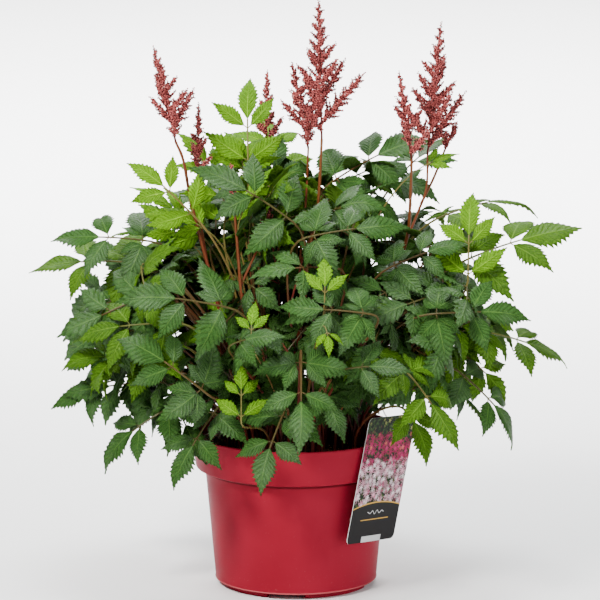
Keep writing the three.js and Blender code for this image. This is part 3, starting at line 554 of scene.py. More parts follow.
def leaf_surface_group():
    """Blade colour, gloss and relief from the leaflet's own map: across is -1 to 1, along 0 to 1."""
    tree, n, given, out = new_group(
        "leaf_surface",
        {"Dark": (0.02, 0.06, 0.01, 1.0), "Light": (0.1, 0.2, 0.05, 1.0), "Vein": (0.2, 0.3, 0.1, 1.0),
         "Under": (0.2, 0.3, 0.1, 1.0), "Gloss": 0.4, "Shine": 0.3},
        ("Color", "Roughness", "Sheen", "Height"),
    )
    across, along = n.uv()
    chance, under, teeth = n.facts()
    place = n.place()
    off_rib = n.math("ABSOLUTE", across)
    wander = n.math("MULTIPLY", n.math("SUBTRACT", n.noise(110.0, 2.0, 0.5, place), 0.5), 3.0)
    turn = n.math("ADD", n.math("MULTIPLY", n.math("MULTIPLY", along, math.pi), teeth), wander)
    off_vein = n.math("ABSOLUTE", n.math("COSINE", turn))
    side_vein = n.ramp(off_vein, 0.03, 0.26, 1.0, 0.0)
    side_vein = n.math("MULTIPLY", side_vein, n.ramp(off_rib, 0.6, 1.0, 1.0, 0.3))
    midrib = n.ramp(off_rib, 0.01, 0.055, 1.0, 0.0)
    net = n.new("ShaderNodeTexVoronoi", {"Vector": place, "Scale": 560.0}, feature="DISTANCE_TO_EDGE")
    fine = n.ramp(net.outputs["Distance"], 0.0, 0.16, 1.0, 0.0)
    blotch = n.ramp(n.noise(110.0, 4.0, 0.65, place), 0.3, 0.7)
    share = n.math("ADD", n.math("MULTIPLY", blotch, 0.42), n.math("MULTIPLY", chance, 0.58))
    blade = n.mix(share, given.outputs["Dark"], given.outputs["Light"])
    # Painted highlight: lighter colour on the raised pillows between the side veins.
    painted_crest_highlight = n.math("MULTIPLY", n.ramp(off_vein, 0.45, 0.95), n.ramp(off_rib, 0.05, 0.3))
    blade = n.mix(n.math("MULTIPLY", painted_crest_highlight, 0.4), blade, given.outputs["Light"])
    # Painted shade: darker colour in the grooves along the side veins.
    painted_hollow_shade = n.math("MULTIPLY", n.ramp(off_vein, 0.2, 0.6, 1.0, 0.0), n.ramp(off_rib, 0.02, 0.2))
    blade = n.mix(n.math("MULTIPLY", painted_hollow_shade, 0.55), blade, given.outputs["Dark"])
    # Painted highlight: small pale specks scattered over the blade.
    painted_highlight_flecks = n.ramp(n.noise(420.0, 3.0, 0.6, place), 0.54, 0.7)
    blade = n.mix(n.math("MULTIPLY", painted_highlight_flecks, 0.3), blade, given.outputs["Vein"])
    blade = n.mix(n.math("MULTIPLY", fine, 0.2), blade, given.outputs["Vein"])
    veins = n.math("MAXIMUM", n.math("MULTIPLY", side_vein, 0.34), n.math("MULTIPLY", midrib, 0.62))
    blade = n.mix(veins, blade, given.outputs["Vein"])
    n.put(out.inputs["Color"], n.mix(under, blade, given.outputs["Under"]))
    rough = n.math("ADD", given.outputs["Gloss"], n.math("MULTIPLY", n.noise(240.0, 2.0, 0.6, place), 0.2))
    n.put(out.inputs["Roughness"], n.math("ADD", rough, n.math("MULTIPLY", under, 0.2)))
    patches = n.ramp(n.noise(26.0, 2.0, 0.5, place), 0.38, 0.62)
    sheen = n.math("MULTIPLY", patches, n.math("SUBTRACT", 1.0, under))
    n.put(out.inputs["Sheen"], n.math("MULTIPLY", sheen, given.outputs["Shine"]))
    pucker = n.math("MULTIPLY", n.math("POWER", off_vein, 0.7), n.ramp(off_rib, 0.0, 0.25))
    relief = n.math("ADD", pucker, n.math("MULTIPLY", n.noise(700.0, 3.0, 0.65, place), 0.7))
    n.put(out.inputs["Height"], n.math("SUBTRACT", relief, n.math("MULTIPLY", fine, 0.25)))
    return tree


def blade_material(name, group, **values):
    """A blade that is matt but for a patchy sheen, which lies over it as a coat."""
    material, n = new_material(name)
    surface = placed_group(n, group, values)
    shader = principled(n, surface.outputs["Color"], surface.outputs["Roughness"], surface.outputs["Height"],
                        1.0, 0.8 * MM, Specular_IOR_Level=0.06, Coat_Roughness=0.42)
    n.put(shader.inputs["Coat Weight"], surface.outputs["Sheen"])
    n.put(shader.inputs["Coat Normal"], shader.inputs["Normal"].links[0].from_socket)
    return material


def stalk_surface_group():
    """A stalk: low colour at its foot, high colour at its end, with streaks along it."""
    tree, n, given, out = new_group(
        "stalk_surface",
        {"Low": (0.1, 0.02, 0.01, 1.0), "High": (0.05, 0.06, 0.01, 1.0), "Streak": (0.06, 0.02, 0.01, 1.0)},
        ("Color", "Roughness", "Height"),
    )
    round_, along = n.uv()
    place = n.place()
    chance, _, _ = n.facts()
    share = n.ramp(n.math("ADD", along, n.math("MULTIPLY", n.noise(60.0, 2.0, 0.5, place), 0.3)), 0.2, 0.9)
    base = n.mix(share, given.outputs["Low"], given.outputs["High"])
    lines = n.math("SINE", n.math("MULTIPLY", round_, 2 * math.pi * 5))
    base = n.mix(n.ramp(lines, -0.2, 1.0, 0.0, 0.35), base, given.outputs["Streak"])
    n.put(out.inputs["Color"], n.mix(n.math("MULTIPLY", chance, 0.35), base, given.outputs["Low"]))
    n.put(out.inputs["Roughness"], n.math("ADD", 0.38, n.math("MULTIPLY", chance, 0.15)))
    grain = n.math("MULTIPLY", n.noise(900.0, 2.0, 0.5, place), 0.8)
    n.put(out.inputs["Height"], n.math("ADD", lines, grain))
    return tree


def stalk_material(name, group, low, high, streak):
    material, n = new_material(name)
    surface = placed_group(n, group, {"Low": (*low, 1), "High": (*high, 1), "Streak": (*streak, 1)})
    principled(n, surface.outputs["Color"], surface.outputs["Roughness"], surface.outputs["Height"],
               0.35, 0.2 * MM, Specular_IOR_Level=0.2)
    return material


def leaf_materials():
    group = leaf_surface_group()
    return {
        # The dark tone's Light colour is partly the leaves' own light tone and partly a painted bluish sheen.
        "dark": blade_material(
            "leaf_dark", group, Dark=(0.006, 0.027, 0.003, 1), Light=(0.034, 0.098, 0.018, 1),
            Vein=(0.085, 0.18, 0.03, 1), Under=(0.045, 0.1, 0.014, 1), Gloss=0.42, Shine=0.5),
        # The deep tone is a darker copy of the dark one, painted shade for leaves inside the bush.
        "deep": blade_material(
            "leaf_painted_shade", group, Dark=(0.004, 0.019, 0.001, 1), Light=(0.021, 0.066, 0.007, 1),
            Vein=(0.06, 0.13, 0.02, 1), Under=(0.035, 0.08, 0.01, 1), Gloss=0.42, Shine=0.2),
        "mid": blade_material(
            "leaf_mid", group, Dark=(0.015, 0.054, 0.0008, 1), Light=(0.058, 0.145, 0.003, 1),
            Vein=(0.13, 0.25, 0.022, 1), Under=(0.08, 0.17, 0.016, 1), Gloss=0.45, Shine=0.14),
        "young": blade_material(
            "leaf_young", group, Dark=(0.034, 0.118, 0.001, 1), Light=(0.108, 0.268, 0.002, 1),
            Vein=(0.26, 0.46, 0.03, 1), Under=(0.15, 0.32, 0.01, 1), Gloss=0.5, Shine=0.08),
    }


def petiole_materials(group):
    colours = {
        # The deep row is a darker copy of the dark one, painted shade for stalks inside the bush.
        "deep": ((0.09, 0.012, 0.008), (0.03, 0.04, 0.008), (0.04, 0.015, 0.008)),
        "dark": ((0.13, 0.016, 0.01), (0.04, 0.056, 0.01), (0.06, 0.018, 0.01)),
        "mid": ((0.13, 0.022, 0.01), (0.08, 0.1, 0.018), (0.08, 0.035, 0.012)),
        "young": ((0.13, 0.05, 0.015), (0.13, 0.13, 0.028), (0.15, 0.09, 0.03)),
    }
    return {tone: stalk_material(f"petiole_{tone}", group, *row) for tone, row in colours.items()}


# ---- leaves ------------------------------------------------------------------------------------


def bezier(start, leaving, arriving, end, steps):
    t = np.linspace(0, 1, steps)[:, None]
    back = 1 - t
    return back**3 * start + 3 * t * back**2 * leaving + 3 * t**2 * back * arriving + t**3 * end


def turned(ahead, left, angle):
    """The way that lies at an angle to the rib, on its left side if the angle is positive."""
    a = math.radians(angle)
    return ahead * math.cos(a) + left * math.sin(a)


class LeafFrame:
    """Where a leaf's rib starts, its axes there, and the bend of its blade."""

    def __init__(self, side, reach, height, heading, rise, roll, size, pairs, tone="dark"):
        self.size, self.pairs, self.height, self.side = size, pairs, height, side
        self.spread, self.breadth = (YOUNG_SPREAD, YOUNG_BREADTH) if tone == "young" else (1, 1)
        rise, roll, turn = math.radians(rise), math.radians(roll), math.radians(heading)
        ahead = outward(heading) * math.cos(rise)
        ahead[2] = math.sin(rise)
        level = Vector((math.cos(turn), math.sin(turn), 0))
        self.ahead = ahead
        self.left = np.array(Matrix.Rotation(roll, 3, Vector(ahead)) @ level)
        self.up = np.cross(self.ahead, self.left)
        self.foot = outward(side) * reach + [0, 0, height]
        self.end = RIB_END + (SECOND_PAIR if pairs == 2 else 0)
        self.radius = (self.end + 1) * size / math.radians(DROOP)

    def bent(self, along, across):
        """Place, and the ways ahead and left, on the bent blade at a spot of the flat one."""
        turn = max(along, 0) / self.radius
        ahead = self.ahead * math.cos(turn) - self.up * math.sin(turn)
        up = self.up * math.cos(turn) + self.ahead * math.sin(turn)
        p = self.foot + self.ahead * (self.radius * math.sin(turn) if along > 0 else along)
        p = p - self.up * self.radius * (1 - math.cos(turn))
        tilt = across / ARCH_RADIUS
        p = p + self.left * ARCH_RADIUS * math.sin(tilt) - up * ARCH_RADIUS * (1 - math.cos(tilt))
        return p, ahead, self.left * math.cos(tilt) - up * math.sin(tilt)

    def stalk(self, fork, steps):
        """Centres of a spray's stalk from its fork to the start of the rib."""
        end = self.bent(RIB_START * self.size, 0)[0]
        span = np.linalg.norm(end - fork)
        leaving = fork + (end - fork) * SPRAY_BOW["out"] + [0, 0, SPRAY_BOW["up"] * span]
        arriving = end - self.ahead * SPRAY_BOW["back"] * span
        return bezier(fork, leaving, arriving, end, steps)

    def fork(self, stretch):
        """Where a spray leaves this leaf's petiole: midway on a stretch of the part's own one."""
        middle = 1 - (PETIOLE_PLACES[stretch - 1] + PETIOLE_PLACES[stretch]) / 2
        steps = 100
        return self.petiole(steps + 1)[1 + round(steps * middle)]

    def petiole(self, steps):
        """Centres of the petiole from its hole in the soil to the start of the rib."""
        share = min(max((self.height - LOW_LEAF) / RISE_OF_LEAVES, 0), 1)
        ring = OUTER_RING - (OUTER_RING - INNER_RING) * share
        foot = outward(self.side) * ring + [0, 0, SOIL_LEVEL - HOLE_DEPTH]
        collar = foot + [0, 0, HOLE_DEPTH + SOIL_DOME + COLLAR]
        end = self.bent(RIB_START * self.size, 0)[0]
        span = np.linalg.norm(end - collar)
        rising = collar + [0, 0, PETIOLE_BOW["up"] * span]
        arriving = end - self.ahead * PETIOLE_BOW["back"] * span
        return np.vstack([foot, bezier(collar, rising, arriving, end, steps)])


# Half width of a leaflet along its length, as shares: broadest before the middle, with a drawn-out tip
OUTLINE = ((0, 0.05), (0.04, 0.22), (0.12, 0.52), (0.22, 0.8), (0.33, 0.97), (0.42, 1.0), (0.53, 0.92),
           (0.64, 0.72), (0.74, 0.47), (0.83, 0.26), (0.91, 0.115), (0.97, 0.04), (1, 0.005))
VEIN_SLANT = 0.2  # how far the side veins lean forward, in leaflet lengths
# Teeth: how far they point forward and stand out, how deep the notches between them are, how much
# larger every third one is, and how far the row within the edge draws in
TOOTH = {"forward": 0.036, "out": 0.07, "notch": 0.15, "larger": 0.5, "inset": 0.05}
LEAFLET_HALF_THICKNESS, QUILT_DEPTH = 0.16, 0.8
COMMON_HALF_WIDTH = 13  # of the leaflet that the quilt's depth and the ripple are given for
# How leaflets differ from each other, as ranges
ARCH, FOLD, TWIST, SWING = (16, 58), (3, 16), (-24, 24), (-0.1, 0.1)
SAG, RIPPLE, WAVES = (0.008, 0.02), (0.3, 1.1), (7, 13)
# Detail of a leaflet: its teeth to a side, and its columns of faces to a half
FINE, CLOSE, PLAIN, COARSE = (12, 3), (9, 2), (8, 2), (7, 1)


class LeafletGrid:
    """Rows and columns of a leaflet. A side vein runs along every second row, out to a tooth."""

    def __init__(self, teeth, halves):
        self.teeth, self.rows, self.cols = teeth, 2 * teeth + 1, 2 * halves + 1
        row = np.arange(self.rows)
        t = np.linspace(0, 1, self.rows) ** 0.95
        w = np.linspace(-1, 1, self.cols)
        self.across = np.broadcast_to(w, (self.rows, self.cols))
        self.share = np.broadcast_to(np.linspace(0, 1, self.rows)[:, None], (self.rows, self.cols))
        off = np.abs(self.across)
        tooth = (row % 2 == 1)[:, None]
        big = 1 + TOOTH["larger"] * ((row // 2) % 3 == 1)[:, None]
        edge = off > 0.99
        middle = np.sin(math.pi * t)[:, None]
        slant = VEIN_SLANT * (1 - off) * middle**0.7
        forward = np.where(tooth & edge, TOOTH["forward"] * big * (1 - 0.4 * t[:, None]), 0)
        self.along = np.clip(t[:, None] - slant + forward, 0, 1)
        shape = np.interp(t, *zip(*OUTLINE))
        toothed = np.where(tooth, 1 + TOOTH["out"] * big, 1 - TOOTH["notch"] * big)
        self.width = shape[:, None] * np.where(edge, toothed, 1 - TOOTH["inset"] * off) * self.across
        self.quilt = np.where(tooth, -1.0, 1.0) * np.minimum(off, 1 - 0.5 * off) * middle
        r, c = np.meshgrid(np.arange(self.rows - 1), np.arange(self.cols - 1), indexing="ij")
        a = r * self.cols + c
        top = np.stack([a, a + self.cols, a + self.cols + 1, a + 1], -1).reshape(-1, 4)
        under = self.rows * self.cols
        border = np.concatenate([
            np.arange(self.cols), np.arange(2, self.rows) * self.cols - 1,
            np.arange(self.rows * self.cols - 1, (self.rows - 1) * self.cols - 1, -1),
            np.arange(self.rows - 2, 0, -1) * self.cols,
        ])
        after = np.roll(border, -1)
        rim = np.stack([border, after, after + under, border + under], -1)
        self.faces = [np.vstack([top[:, ::-1], top + under, rim[:, ::-1]])]


GRIDS = {detail: LeafletGrid(*detail) for detail in (FINE, CLOSE, PLAIN, COARSE)}


def leaflet(heap, base, ahead, left, length, half_width, chance, detail, tint):
    """One toothed leaflet: folded up along its midrib, arched down to its tip, quilted by its veins."""
    g = GRIDS[detail]
    draw = np.random.default_rng(int(chance * 1e6))
    up = np.cross(ahead, left)
    arch = math.radians(draw.uniform(*ARCH))
    fold = math.radians(draw.uniform(*FOLD))
    swing = draw.uniform(*SWING) * length
    twist = math.radians(draw.uniform(*TWIST))
    bend = g.along**1.3 * arch
    radius = length / arch
    centre = (base + ahead * (radius * np.sin(g.along * arch) * 0.96)[..., None]
              - up * (radius * (1 - np.cos(bend)))[..., None] + left * (swing * g.along**2)[..., None])
    normal = up * np.cos(bend)[..., None] + ahead * np.sin(bend)[..., None]
    turn = twist * g.along
    side = left * np.cos(turn)[..., None] + normal * np.sin(turn)[..., None]
    normal = normal * np.cos(turn)[..., None] - left * np.sin(turn)[..., None]
    out = g.width * half_width
    lift = np.abs(out) * math.sin(fold) - out**2 * draw.uniform(*SAG) * (16 / max(half_width, 5))
    wave = np.sin(g.along * draw.uniform(*WAVES) + draw.uniform(0, 6))
    ripple = draw.uniform(*RIPPLE) * wave * g.across**2 * (half_width / COMMON_HALF_WIDTH)
    quilt = QUILT_DEPTH * g.quilt * (half_width / COMMON_HALF_WIDTH)
    points = centre + side * (out * math.cos(fold))[..., None] + normal * (lift + ripple + quilt)[..., None]
    both = np.concatenate([(points + normal * LEAFLET_HALF_THICKNESS).reshape(-1, 3),
                           (points - normal * LEAFLET_HALF_THICKNESS).reshape(-1, 3)])
    n = g.rows * g.cols
    uv = np.tile(np.stack([g.across.ravel(), g.share.ravel()], -1), (2, 1))
    shade = 0.6 * tint + 0.4 * draw.uniform()
    facts = np.stack([np.full(2 * n, shade), np.repeat([0.0, 1.0], n), np.full(2 * n, float(g.teeth))], -1)
    heap.add(both, g.faces, uv, facts)


def leaf(heap, spot, number, detail, fork=None):
    """A whole leaf: petiole, rib, side leaflets and the one at the end. Most of the first side leaflets
    are trios. A spray has a stalk from its fork in place of the petiole."""
    draw = np.random.default_rng(700 + number)
    size = spot.size
    petiole = spot.petiole(14) if fork is None else spot.stalk(fork, 9)
    rib = np.array([spot.bent(share * size, 0)[0] for share in np.linspace(RIB_START, spot.end, 7)])
    stalk = np.vstack([petiole, rib[1:]])
    length = np.concatenate([[0], np.cumsum(np.linalg.norm(np.diff(stalk, axis=0), axis=1))])
    thick = PETIOLE_RADII if fork is None else SPRAY_RADII
    radii = np.interp(length / length[-1], STALK_SHARES, thick) * min(1, size / FULL_SIZE)
    tint = (draw.uniform(), 0, 0)
    tube(heap, stalk, radii, 7, tint, 1)
    turn = draw.uniform(-WOBBLE, WOBBLE, 6)

    def blade(base, ahead, left, share, angle):
        way = unit(turned(ahead, left, angle))
        across = unit(np.cross(np.cross(ahead, left), way))
        long = share * size * draw.uniform(*LENGTHS)
        broad = draw.uniform(*BREADTHS) * spot.breadth
        leaflet(heap, base, way, across, long, long * broad, draw.uniform(), detail, tint[0])

    def single(at, angle, share):
        """A side leaflet on a short stalk."""
        base, ahead, left = spot.bent(at * size, math.copysign(RIB_SIDE, angle))
        way = turned(ahead, left, angle)
        foot = base + way * SIDE_STALK * size
        tube(heap, [base, foot + way * 1.2], SIDE_RADII, 5, tint, 1, 0.9, 1.0)
        blade(foot, ahead, left, share - SIDE_STALK, angle)

    def trio(at, angle, share):
        """A side branch with three leaflets."""
        base = spot.bent(at * size, math.copysign(RIB_SIDE, angle))[0]
        a, stem = math.radians(angle), TRIO_STALK * size
        split, ahead, left = spot.bent(at * size + stem * math.cos(a), stem * math.sin(a))
        tube(heap, [base, (base + split) / 2, split], TRIO_RADII, 5, tint, 1, 0.85, 1.0)
        blade(split, ahead, left, share - TRIO_STALK, angle)
        for aside in (TRIO_ANGLE, -TRIO_ANGLE):
            way = angle + (aside + draw.uniform(-6, 6)) * spot.spread
            blade(split, ahead, left, draw.uniform(*TRIO_SIZES), way)

    for sign in (1, -1):
        if spot.pairs == 2:
            at, angle, share = FIRST_SIDE
            plain = spot.breadth < 1 or draw.uniform() < SINGLES
            (single if plain else trio)(at, sign * (angle + turn[0]) * spot.spread, share)
        at, angle, share = SECOND_SIDE if spot.pairs == 2 else ONLY_SIDE
        single(at, sign * (angle + turn[1 + sign]) * spot.spread, share)
    base, ahead, left = spot.bent(spot.end * size, 0)
    blade(base, ahead, left, END_LEAFLET, turn[3] * 0.5)


def make_leaves(blades, stalks):
    for i, row in enumerate(LEAVES, 1):
        heap = Heap()
        tone = row[-1]
        spot = LeafFrame(*row)
        leaf(heap, spot, i, FINE)
        for k, (parent, stretch, *place) in enumerate(SPRAYS):
            if parent == i:
                leaf(heap, LeafFrame(*place, 1, tone), 500 + k, FINE, spot.fork(stretch))
        name = f"leaf_{i:02d}"
        # Leaves in SHADED take the dark material as painted shade.
        look = "dark" if i in SHADED else tone
        finish_piece(heap.piece(f"{name}_blade", [blades[look], stalks[look]]), f"leaf_{tone}", name)


# Leaves deeper in the bush, in groups by place: how many, between which bearings and heights, how
# far out as shares of the canopy's own radius there, how steeply they rise, how far they turn aside
# from the way out, their tone and their detail
# The deep tone is a darker copy of the dark one, painted shade for leaves inside the bush.
FILLS = [
    ("front", 12, (-80, 84), (206, 268), (0.42, 0.74), (-50, -15), (50, 120), "deep", CLOSE),
    ("front_right", 8, (20, 88), (250, 320), (0.42, 0.76), (-35, 10), (50, 120), "dark", CLOSE),
    ("front_left", 6, (-88, -52), (250, 312), (0.42, 0.76), (-30, 5), (50, 120), "dark", CLOSE),
    ("heart", 22, (80, 280), (186, 280), (0.14, 0.4), (50, 82), (0, 40), "deep", COARSE),
    ("behind", 16, (96, 264), (190, 284), (0.36, 0.6), (40, 76), (0, 45), "deep", COARSE),
    ("wing_left", 8, (236, 264), (176, 300), (0.45, 0.78), (40, 76), (0, 45), "deep", COARSE),
    ("wing_right", 8, (96, 124), (176, 300), (0.45, 0.78), (40, 76), (0, 45), "deep", COARSE),
    ("left", 12, (-116, -64), (200, 296), (0.6, 0.87), (-30, 5), (50, 120), "mid", CLOSE),
    ("right", 11, (64, 114), (190, 292), (0.6, 0.86), (-30, 5), (50, 120), "dark", CLOSE),
    ("flank_left", 7, (-118, -68), (186, 280), (0.6, 0.86), (-34, -2), (62, 112), "dark", PLAIN),
    ("flank_right", 7, (68, 116), (186, 286), (0.6, 0.86), (-34, -2), (62, 112), "mid", PLAIN),
    ("low", 9, (-75, 75), (168, 206), (0.36, 0.52), (-30, 5), (50, 120), "deep", PLAIN),
    ("back_left", 8, (232, 266), (218, 308), (0.46, 0.7), (-10, 25), (50, 120), "deep", COARSE),
    ("back_right", 7, (94, 130), (240, 312), (0.4, 0.66), (-10, 25), (50, 120), "deep", COARSE),
    ("crown", 6, (130, 300), (312, 350), (0.1, 0.28), (0, 40), (50, 120), "mid", PLAIN),
    ("top", 8, (60, 300), (312, 352), (0.25, 0.5), (5, 50), (50, 120), "dark", CLOSE),
    ("back_low", 10, (92, 268), (176, 262), (0.45, 0.78), (-35, 0), (50, 120), "dark", COARSE),
    ("back_high", 10, (92, 268), (252, 320), (0.4, 0.7), (-15, 25), (50, 120), "mid", COARSE),
    ("by_tag", 3, (46, 74), (186, 214), (0.46, 0.6), (-12, 14), (20, 100), "deep", PLAIN),
    ("skirt_left", 6, (-110, -56), (172, 214), (0.6, 0.8), (-30, -8), (50, 120), "deep", PLAIN),
    ("skirt_right", 6, (58, 110), (172, 214), (0.6, 0.8), (-30, -8), (50, 120), "deep", PLAIN),
]
UPRIGHT = ("heart", "behind", "wing_left", "wing_right")  # these stand with their faces to the front
SIDEWAYS = ("flank_left", "flank_right")  # these point to their own side
LEFT_OUT = ("front_left", 1)  # this one would hide the flower stems
FILL_SIZES, UPRIGHT_GROWTH = (34, 50), 1.15
GOLDEN = 0.618  # of the way between the bearings from one leaf to the next
FILL_ROLL, ROLL_WOBBLE = 50, 15  # roll of a leaf that points straight aside
TRIES, DRAW_BACK = 8, {"share": 0.93, "height": 5, "size": 0.98}  # of a leaf that is out of bounds
CANOPY = {"middle": 262, "half_height": 150, "side": 226, "front": 162, "back": 205}
# How far leaves keep from the box, the rim and its top, and where they keep off the tag
CLEARANCE = {"box": 3, "rim": 2, "top": 3}
TAG_VIEW = {"middle": 77, "half_width": 32, "top": 171, "behind_rim": 14}


def canopy_radius(bearing, height):
    a = math.radians(bearing)
    depth = CANOPY["front"] if math.cos(a) > 0 else CANOPY["back"]
    round_ = 1 / math.hypot(math.sin(a) / CANOPY["side"], math.cos(a) / depth)
    return round_ * math.sqrt(1 - 0.75 * ((height - CANOPY["middle"]) / CANOPY["half_height"]) ** 2)


def in_bounds(points):
    """Whether a leaf lies within the solids' box, over the soil, and clear of the pot and the tag."""
    low, high = np.array(CAD_BOX) / MM - POT_AXIS
    inside = (points > low + CLEARANCE["box"]).all() and (points < high - CLEARANCE["box"]).all()
    x, z = points[:, 0], points[:, 2]
    near_pot = np.hypot(x, points[:, 1]) < RIM_RADIUS + CLEARANCE["rim"]
    before_tag = points @ outward(TAG_BEARING) > RIM_RADIUS - TAG_VIEW["behind_rim"]
    before_tag &= np.abs(x - TAG_VIEW["middle"]) < TAG_VIEW["half_width"]
    hits = (near_pot & (z < POT_HEIGHT + CLEARANCE["top"])) | (before_tag & (z < TAG_VIEW["top"]))
    return inside and not hits.any()


def drawn_leaf(spot, number, detail):
    heap = Heap()
    leaf(heap, spot, number, detail)
    return heap


def make_fill_leaves(blades, stalks):
    """Each leaf draws back and up until it is in bounds."""
    for k, (place, count, bearings, heights, shares, rises, turns, tone, detail) in enumerate(FILLS):
        draw = np.random.default_rng(60 + k)
        heap = Heap()
        for i in range(count):
            along = (i * GOLDEN + draw.uniform(0, 0.12)) % 1
            bearing = bearings[0] + (bearings[1] - bearings[0]) * along
            height = draw.uniform(*heights)
            share = draw.uniform(*shares)
            size = draw.uniform(*FILL_SIZES) * (UPRIGHT_GROWTH if place in UPRIGHT else 1)
            facing = 180 if place in UPRIGHT else 0 if place in SIDEWAYS else bearing
            side = math.copysign(1, bearing) if place in SIDEWAYS else 1 if i % 2 else -1
            heading = facing + draw.uniform(*turns) * side
            rise = draw.uniform(*rises)
            roll = FILL_ROLL * math.sin(math.radians(heading - facing))
            roll += draw.uniform(-ROLL_WOBBLE, ROLL_WOBBLE)
            if (place, i) == LEFT_OUT:
                continue
            for _ in range(TRIES):
                reach = max(canopy_radius(bearing, height) * share - size * 0.55, 30)
                spot = LeafFrame(bearing, reach, height, heading, rise, roll, size, 2)
                number = 1000 * (k + 1) + i
                if in_bounds(np.concatenate(drawn_leaf(spot, number, detail).points[1:])):
                    break
                share *= DRAW_BACK["share"]
                height += DRAW_BACK["height"]
                size *= DRAW_BACK["size"]
            leaf(heap, spot, number, detail)
        slot = "leaf_mid" if tone == "mid" else "leaf_dark"
        finish_piece(heap.piece(f"inner_leaves_{place}", [blades[tone], stalks[tone]]), slot)


def make_young_shoots(blades, stalks):
    heap = Heap()
    for i, row in enumerate(SHOOTS):
        leaf(heap, LeafFrame(*row), 300 + i, PLAIN)
    finish_piece(heap.piece("young_shoots", [blades["young"], stalks["young"]]), "leaf_young")


# ---- flower stems and plumes -------------------------------------------------------------------


def make_stems(material):
    """Each stem has slight knots, and a few side shoots."""
    for k, (name, (path, shoots)) in enumerate(STEMS.items()):
        heap = Heap()
        draw = np.random.default_rng(50 + k)
        centres = smooth_path(path, 7)
        n = len(centres)
        knots = 1 + 0.07 * np.sin(np.arange(n) * 1.3 + k)
        radii = np.interp(np.linspace(0, 1, n), [0, 0.4, 1], STEM_RADII) * knots
        tube(heap, centres, radii, 10, (draw.uniform(), 0, 0))
        for shoot in shoots:
            centres = smooth_path(shoot, 6)
            radii = np.linspace(*SHOOT_RADII, len(centres))
            tube(heap, centres, radii, 8, (draw.uniform(), 0, 0), 0, 0.5, 1)
        finish_piece(heap.piece(f"{name}_round", [material]), "flower_stem", name)


def bud_template():
    """A pointed bud along +Z from its foot to its tip, one unit long."""
    angle = 2 * math.pi * np.arange(BUD_SIDES) / BUD_SIDES
    radius, height = BUD_WAIST
    ring = np.stack([radius * np.cos(angle), radius * np.sin(angle), np.full(BUD_SIDES, height)], -1)
    points = np.vstack([[0, 0, 0], ring, [0, 0, 1]])
    j = np.arange(BUD_SIDES)
    lower = np.stack([np.zeros(BUD_SIDES, int), 1 + (j + 1) % BUD_SIDES, 1 + j], -1)
    upper = np.stack([np.full(BUD_SIDES, BUD_SIDES + 1), 1 + j, 1 + (j + 1) % BUD_SIDES], -1)
    return points, np.vstack([lower, upper])


def add_buds(heap, feet, ways, lengths, tints):
    """Buds at many places at once, each pointing its own way."""
    shape, faces = bud_template()
    ways = unit(ways)
    helper = np.where(np.abs(ways[:, 2:]) > 0.9, [[1.0, 0, 0]], [[0, 0, 1.0]])
    across = unit(np.cross(helper, ways))
    third = np.cross(ways, across)
    local = shape[None] * lengths[:, None, None]
    points = (feet[:, None] + local[..., :1] * across[:, None] + local[..., 1:2] * third[:, None]
              + local[..., 2:] * ways[:, None])
    count = len(feet)
    offsets = (np.arange(count) * len(shape))[:, None, None]
    facts = np.repeat(np.stack([tints, np.zeros(count), np.zeros(count)], -1), len(shape), axis=0)
    uv = np.stack([np.zeros(len(shape)), shape[:, 2]], -1)
    faces = (faces[None] + offsets).reshape(-1, 3)
    heap.add(points.reshape(-1, 3), [faces], np.tile(uv, (count, 1)), facts)


def fixed_chance(seed):
    """The same number between 0 and 1 for the same seed each time, as in the part's own source."""
    wave = math.sin(seed * 12.9898 + 4.1414) * 43758.5453
    return wave - math.floor(wave)


def across_branch(ahead):
    """Two directions square to a branch and to each other."""
    helper = np.array([1.0, 0.2, 0.1]) if abs(ahead[2]) > 0.8 else np.array([0.1, 0.2, 1.0])
    across = unit(np.cross(helper, ahead))
    return across, np.cross(ahead, across)


def spindle(heap, start, end, thick, draw, opened=0.0):
    """A tapering branch set all over with buds. A share of them, opened, is pale."""
    length = np.linalg.norm(end - start)
    ahead = (end - start) / length
    grid = np.linspace(0, 1, 8 if length > 14 else 4)
    radius = thick * np.minimum(1, 0.5 + grid / 0.4) * (1 - grid) ** 0.55 + 0.45
    # The core tube takes the buds' darkest foot colour, painted shade in the gaps between the buds.
    tube(heap, start + grid[:, None] * (end - start) * 0.94, radius * 0.75, 4, (0.1, 0, 0), 0, 0.0, 0.0)
    reached = np.concatenate([[0], np.cumsum(radius[1:] + radius[:-1])])
    buds = max(6, int(2 * math.pi * radius.mean() * length / BUD_AREA))
    s = np.interp((np.arange(buds) + 0.5) / buds * reached[-1], reached, grid)
    angle = np.radians(BRANCH_TURN) * np.arange(buds) + draw.uniform(0, 6)
    across, third = across_branch(ahead)
    radial = np.cos(angle)[:, None] * across + np.sin(angle)[:, None] * third
    reach = np.interp(s, grid, radius) * draw.uniform(0.8, 1.15, buds)
    feet = start + ahead * (s * length)[:, None] + radial * reach[:, None] + draw.normal(0, 0.2, (buds, 3))
    ways = radial + ahead * draw.uniform(0.5, 1.0, buds)[:, None] + draw.normal(0, 0.15, (buds, 3))
    lengths = draw.uniform(*BUD_LENGTHS, buds) * (1 - 0.2 * s)
    tints = draw.uniform(0, 0.92, buds) + (draw.uniform(size=buds) < opened)
    add_buds(heap, feet - unit(ways) * lengths[:, None] * 0.5, ways, lengths, tints)


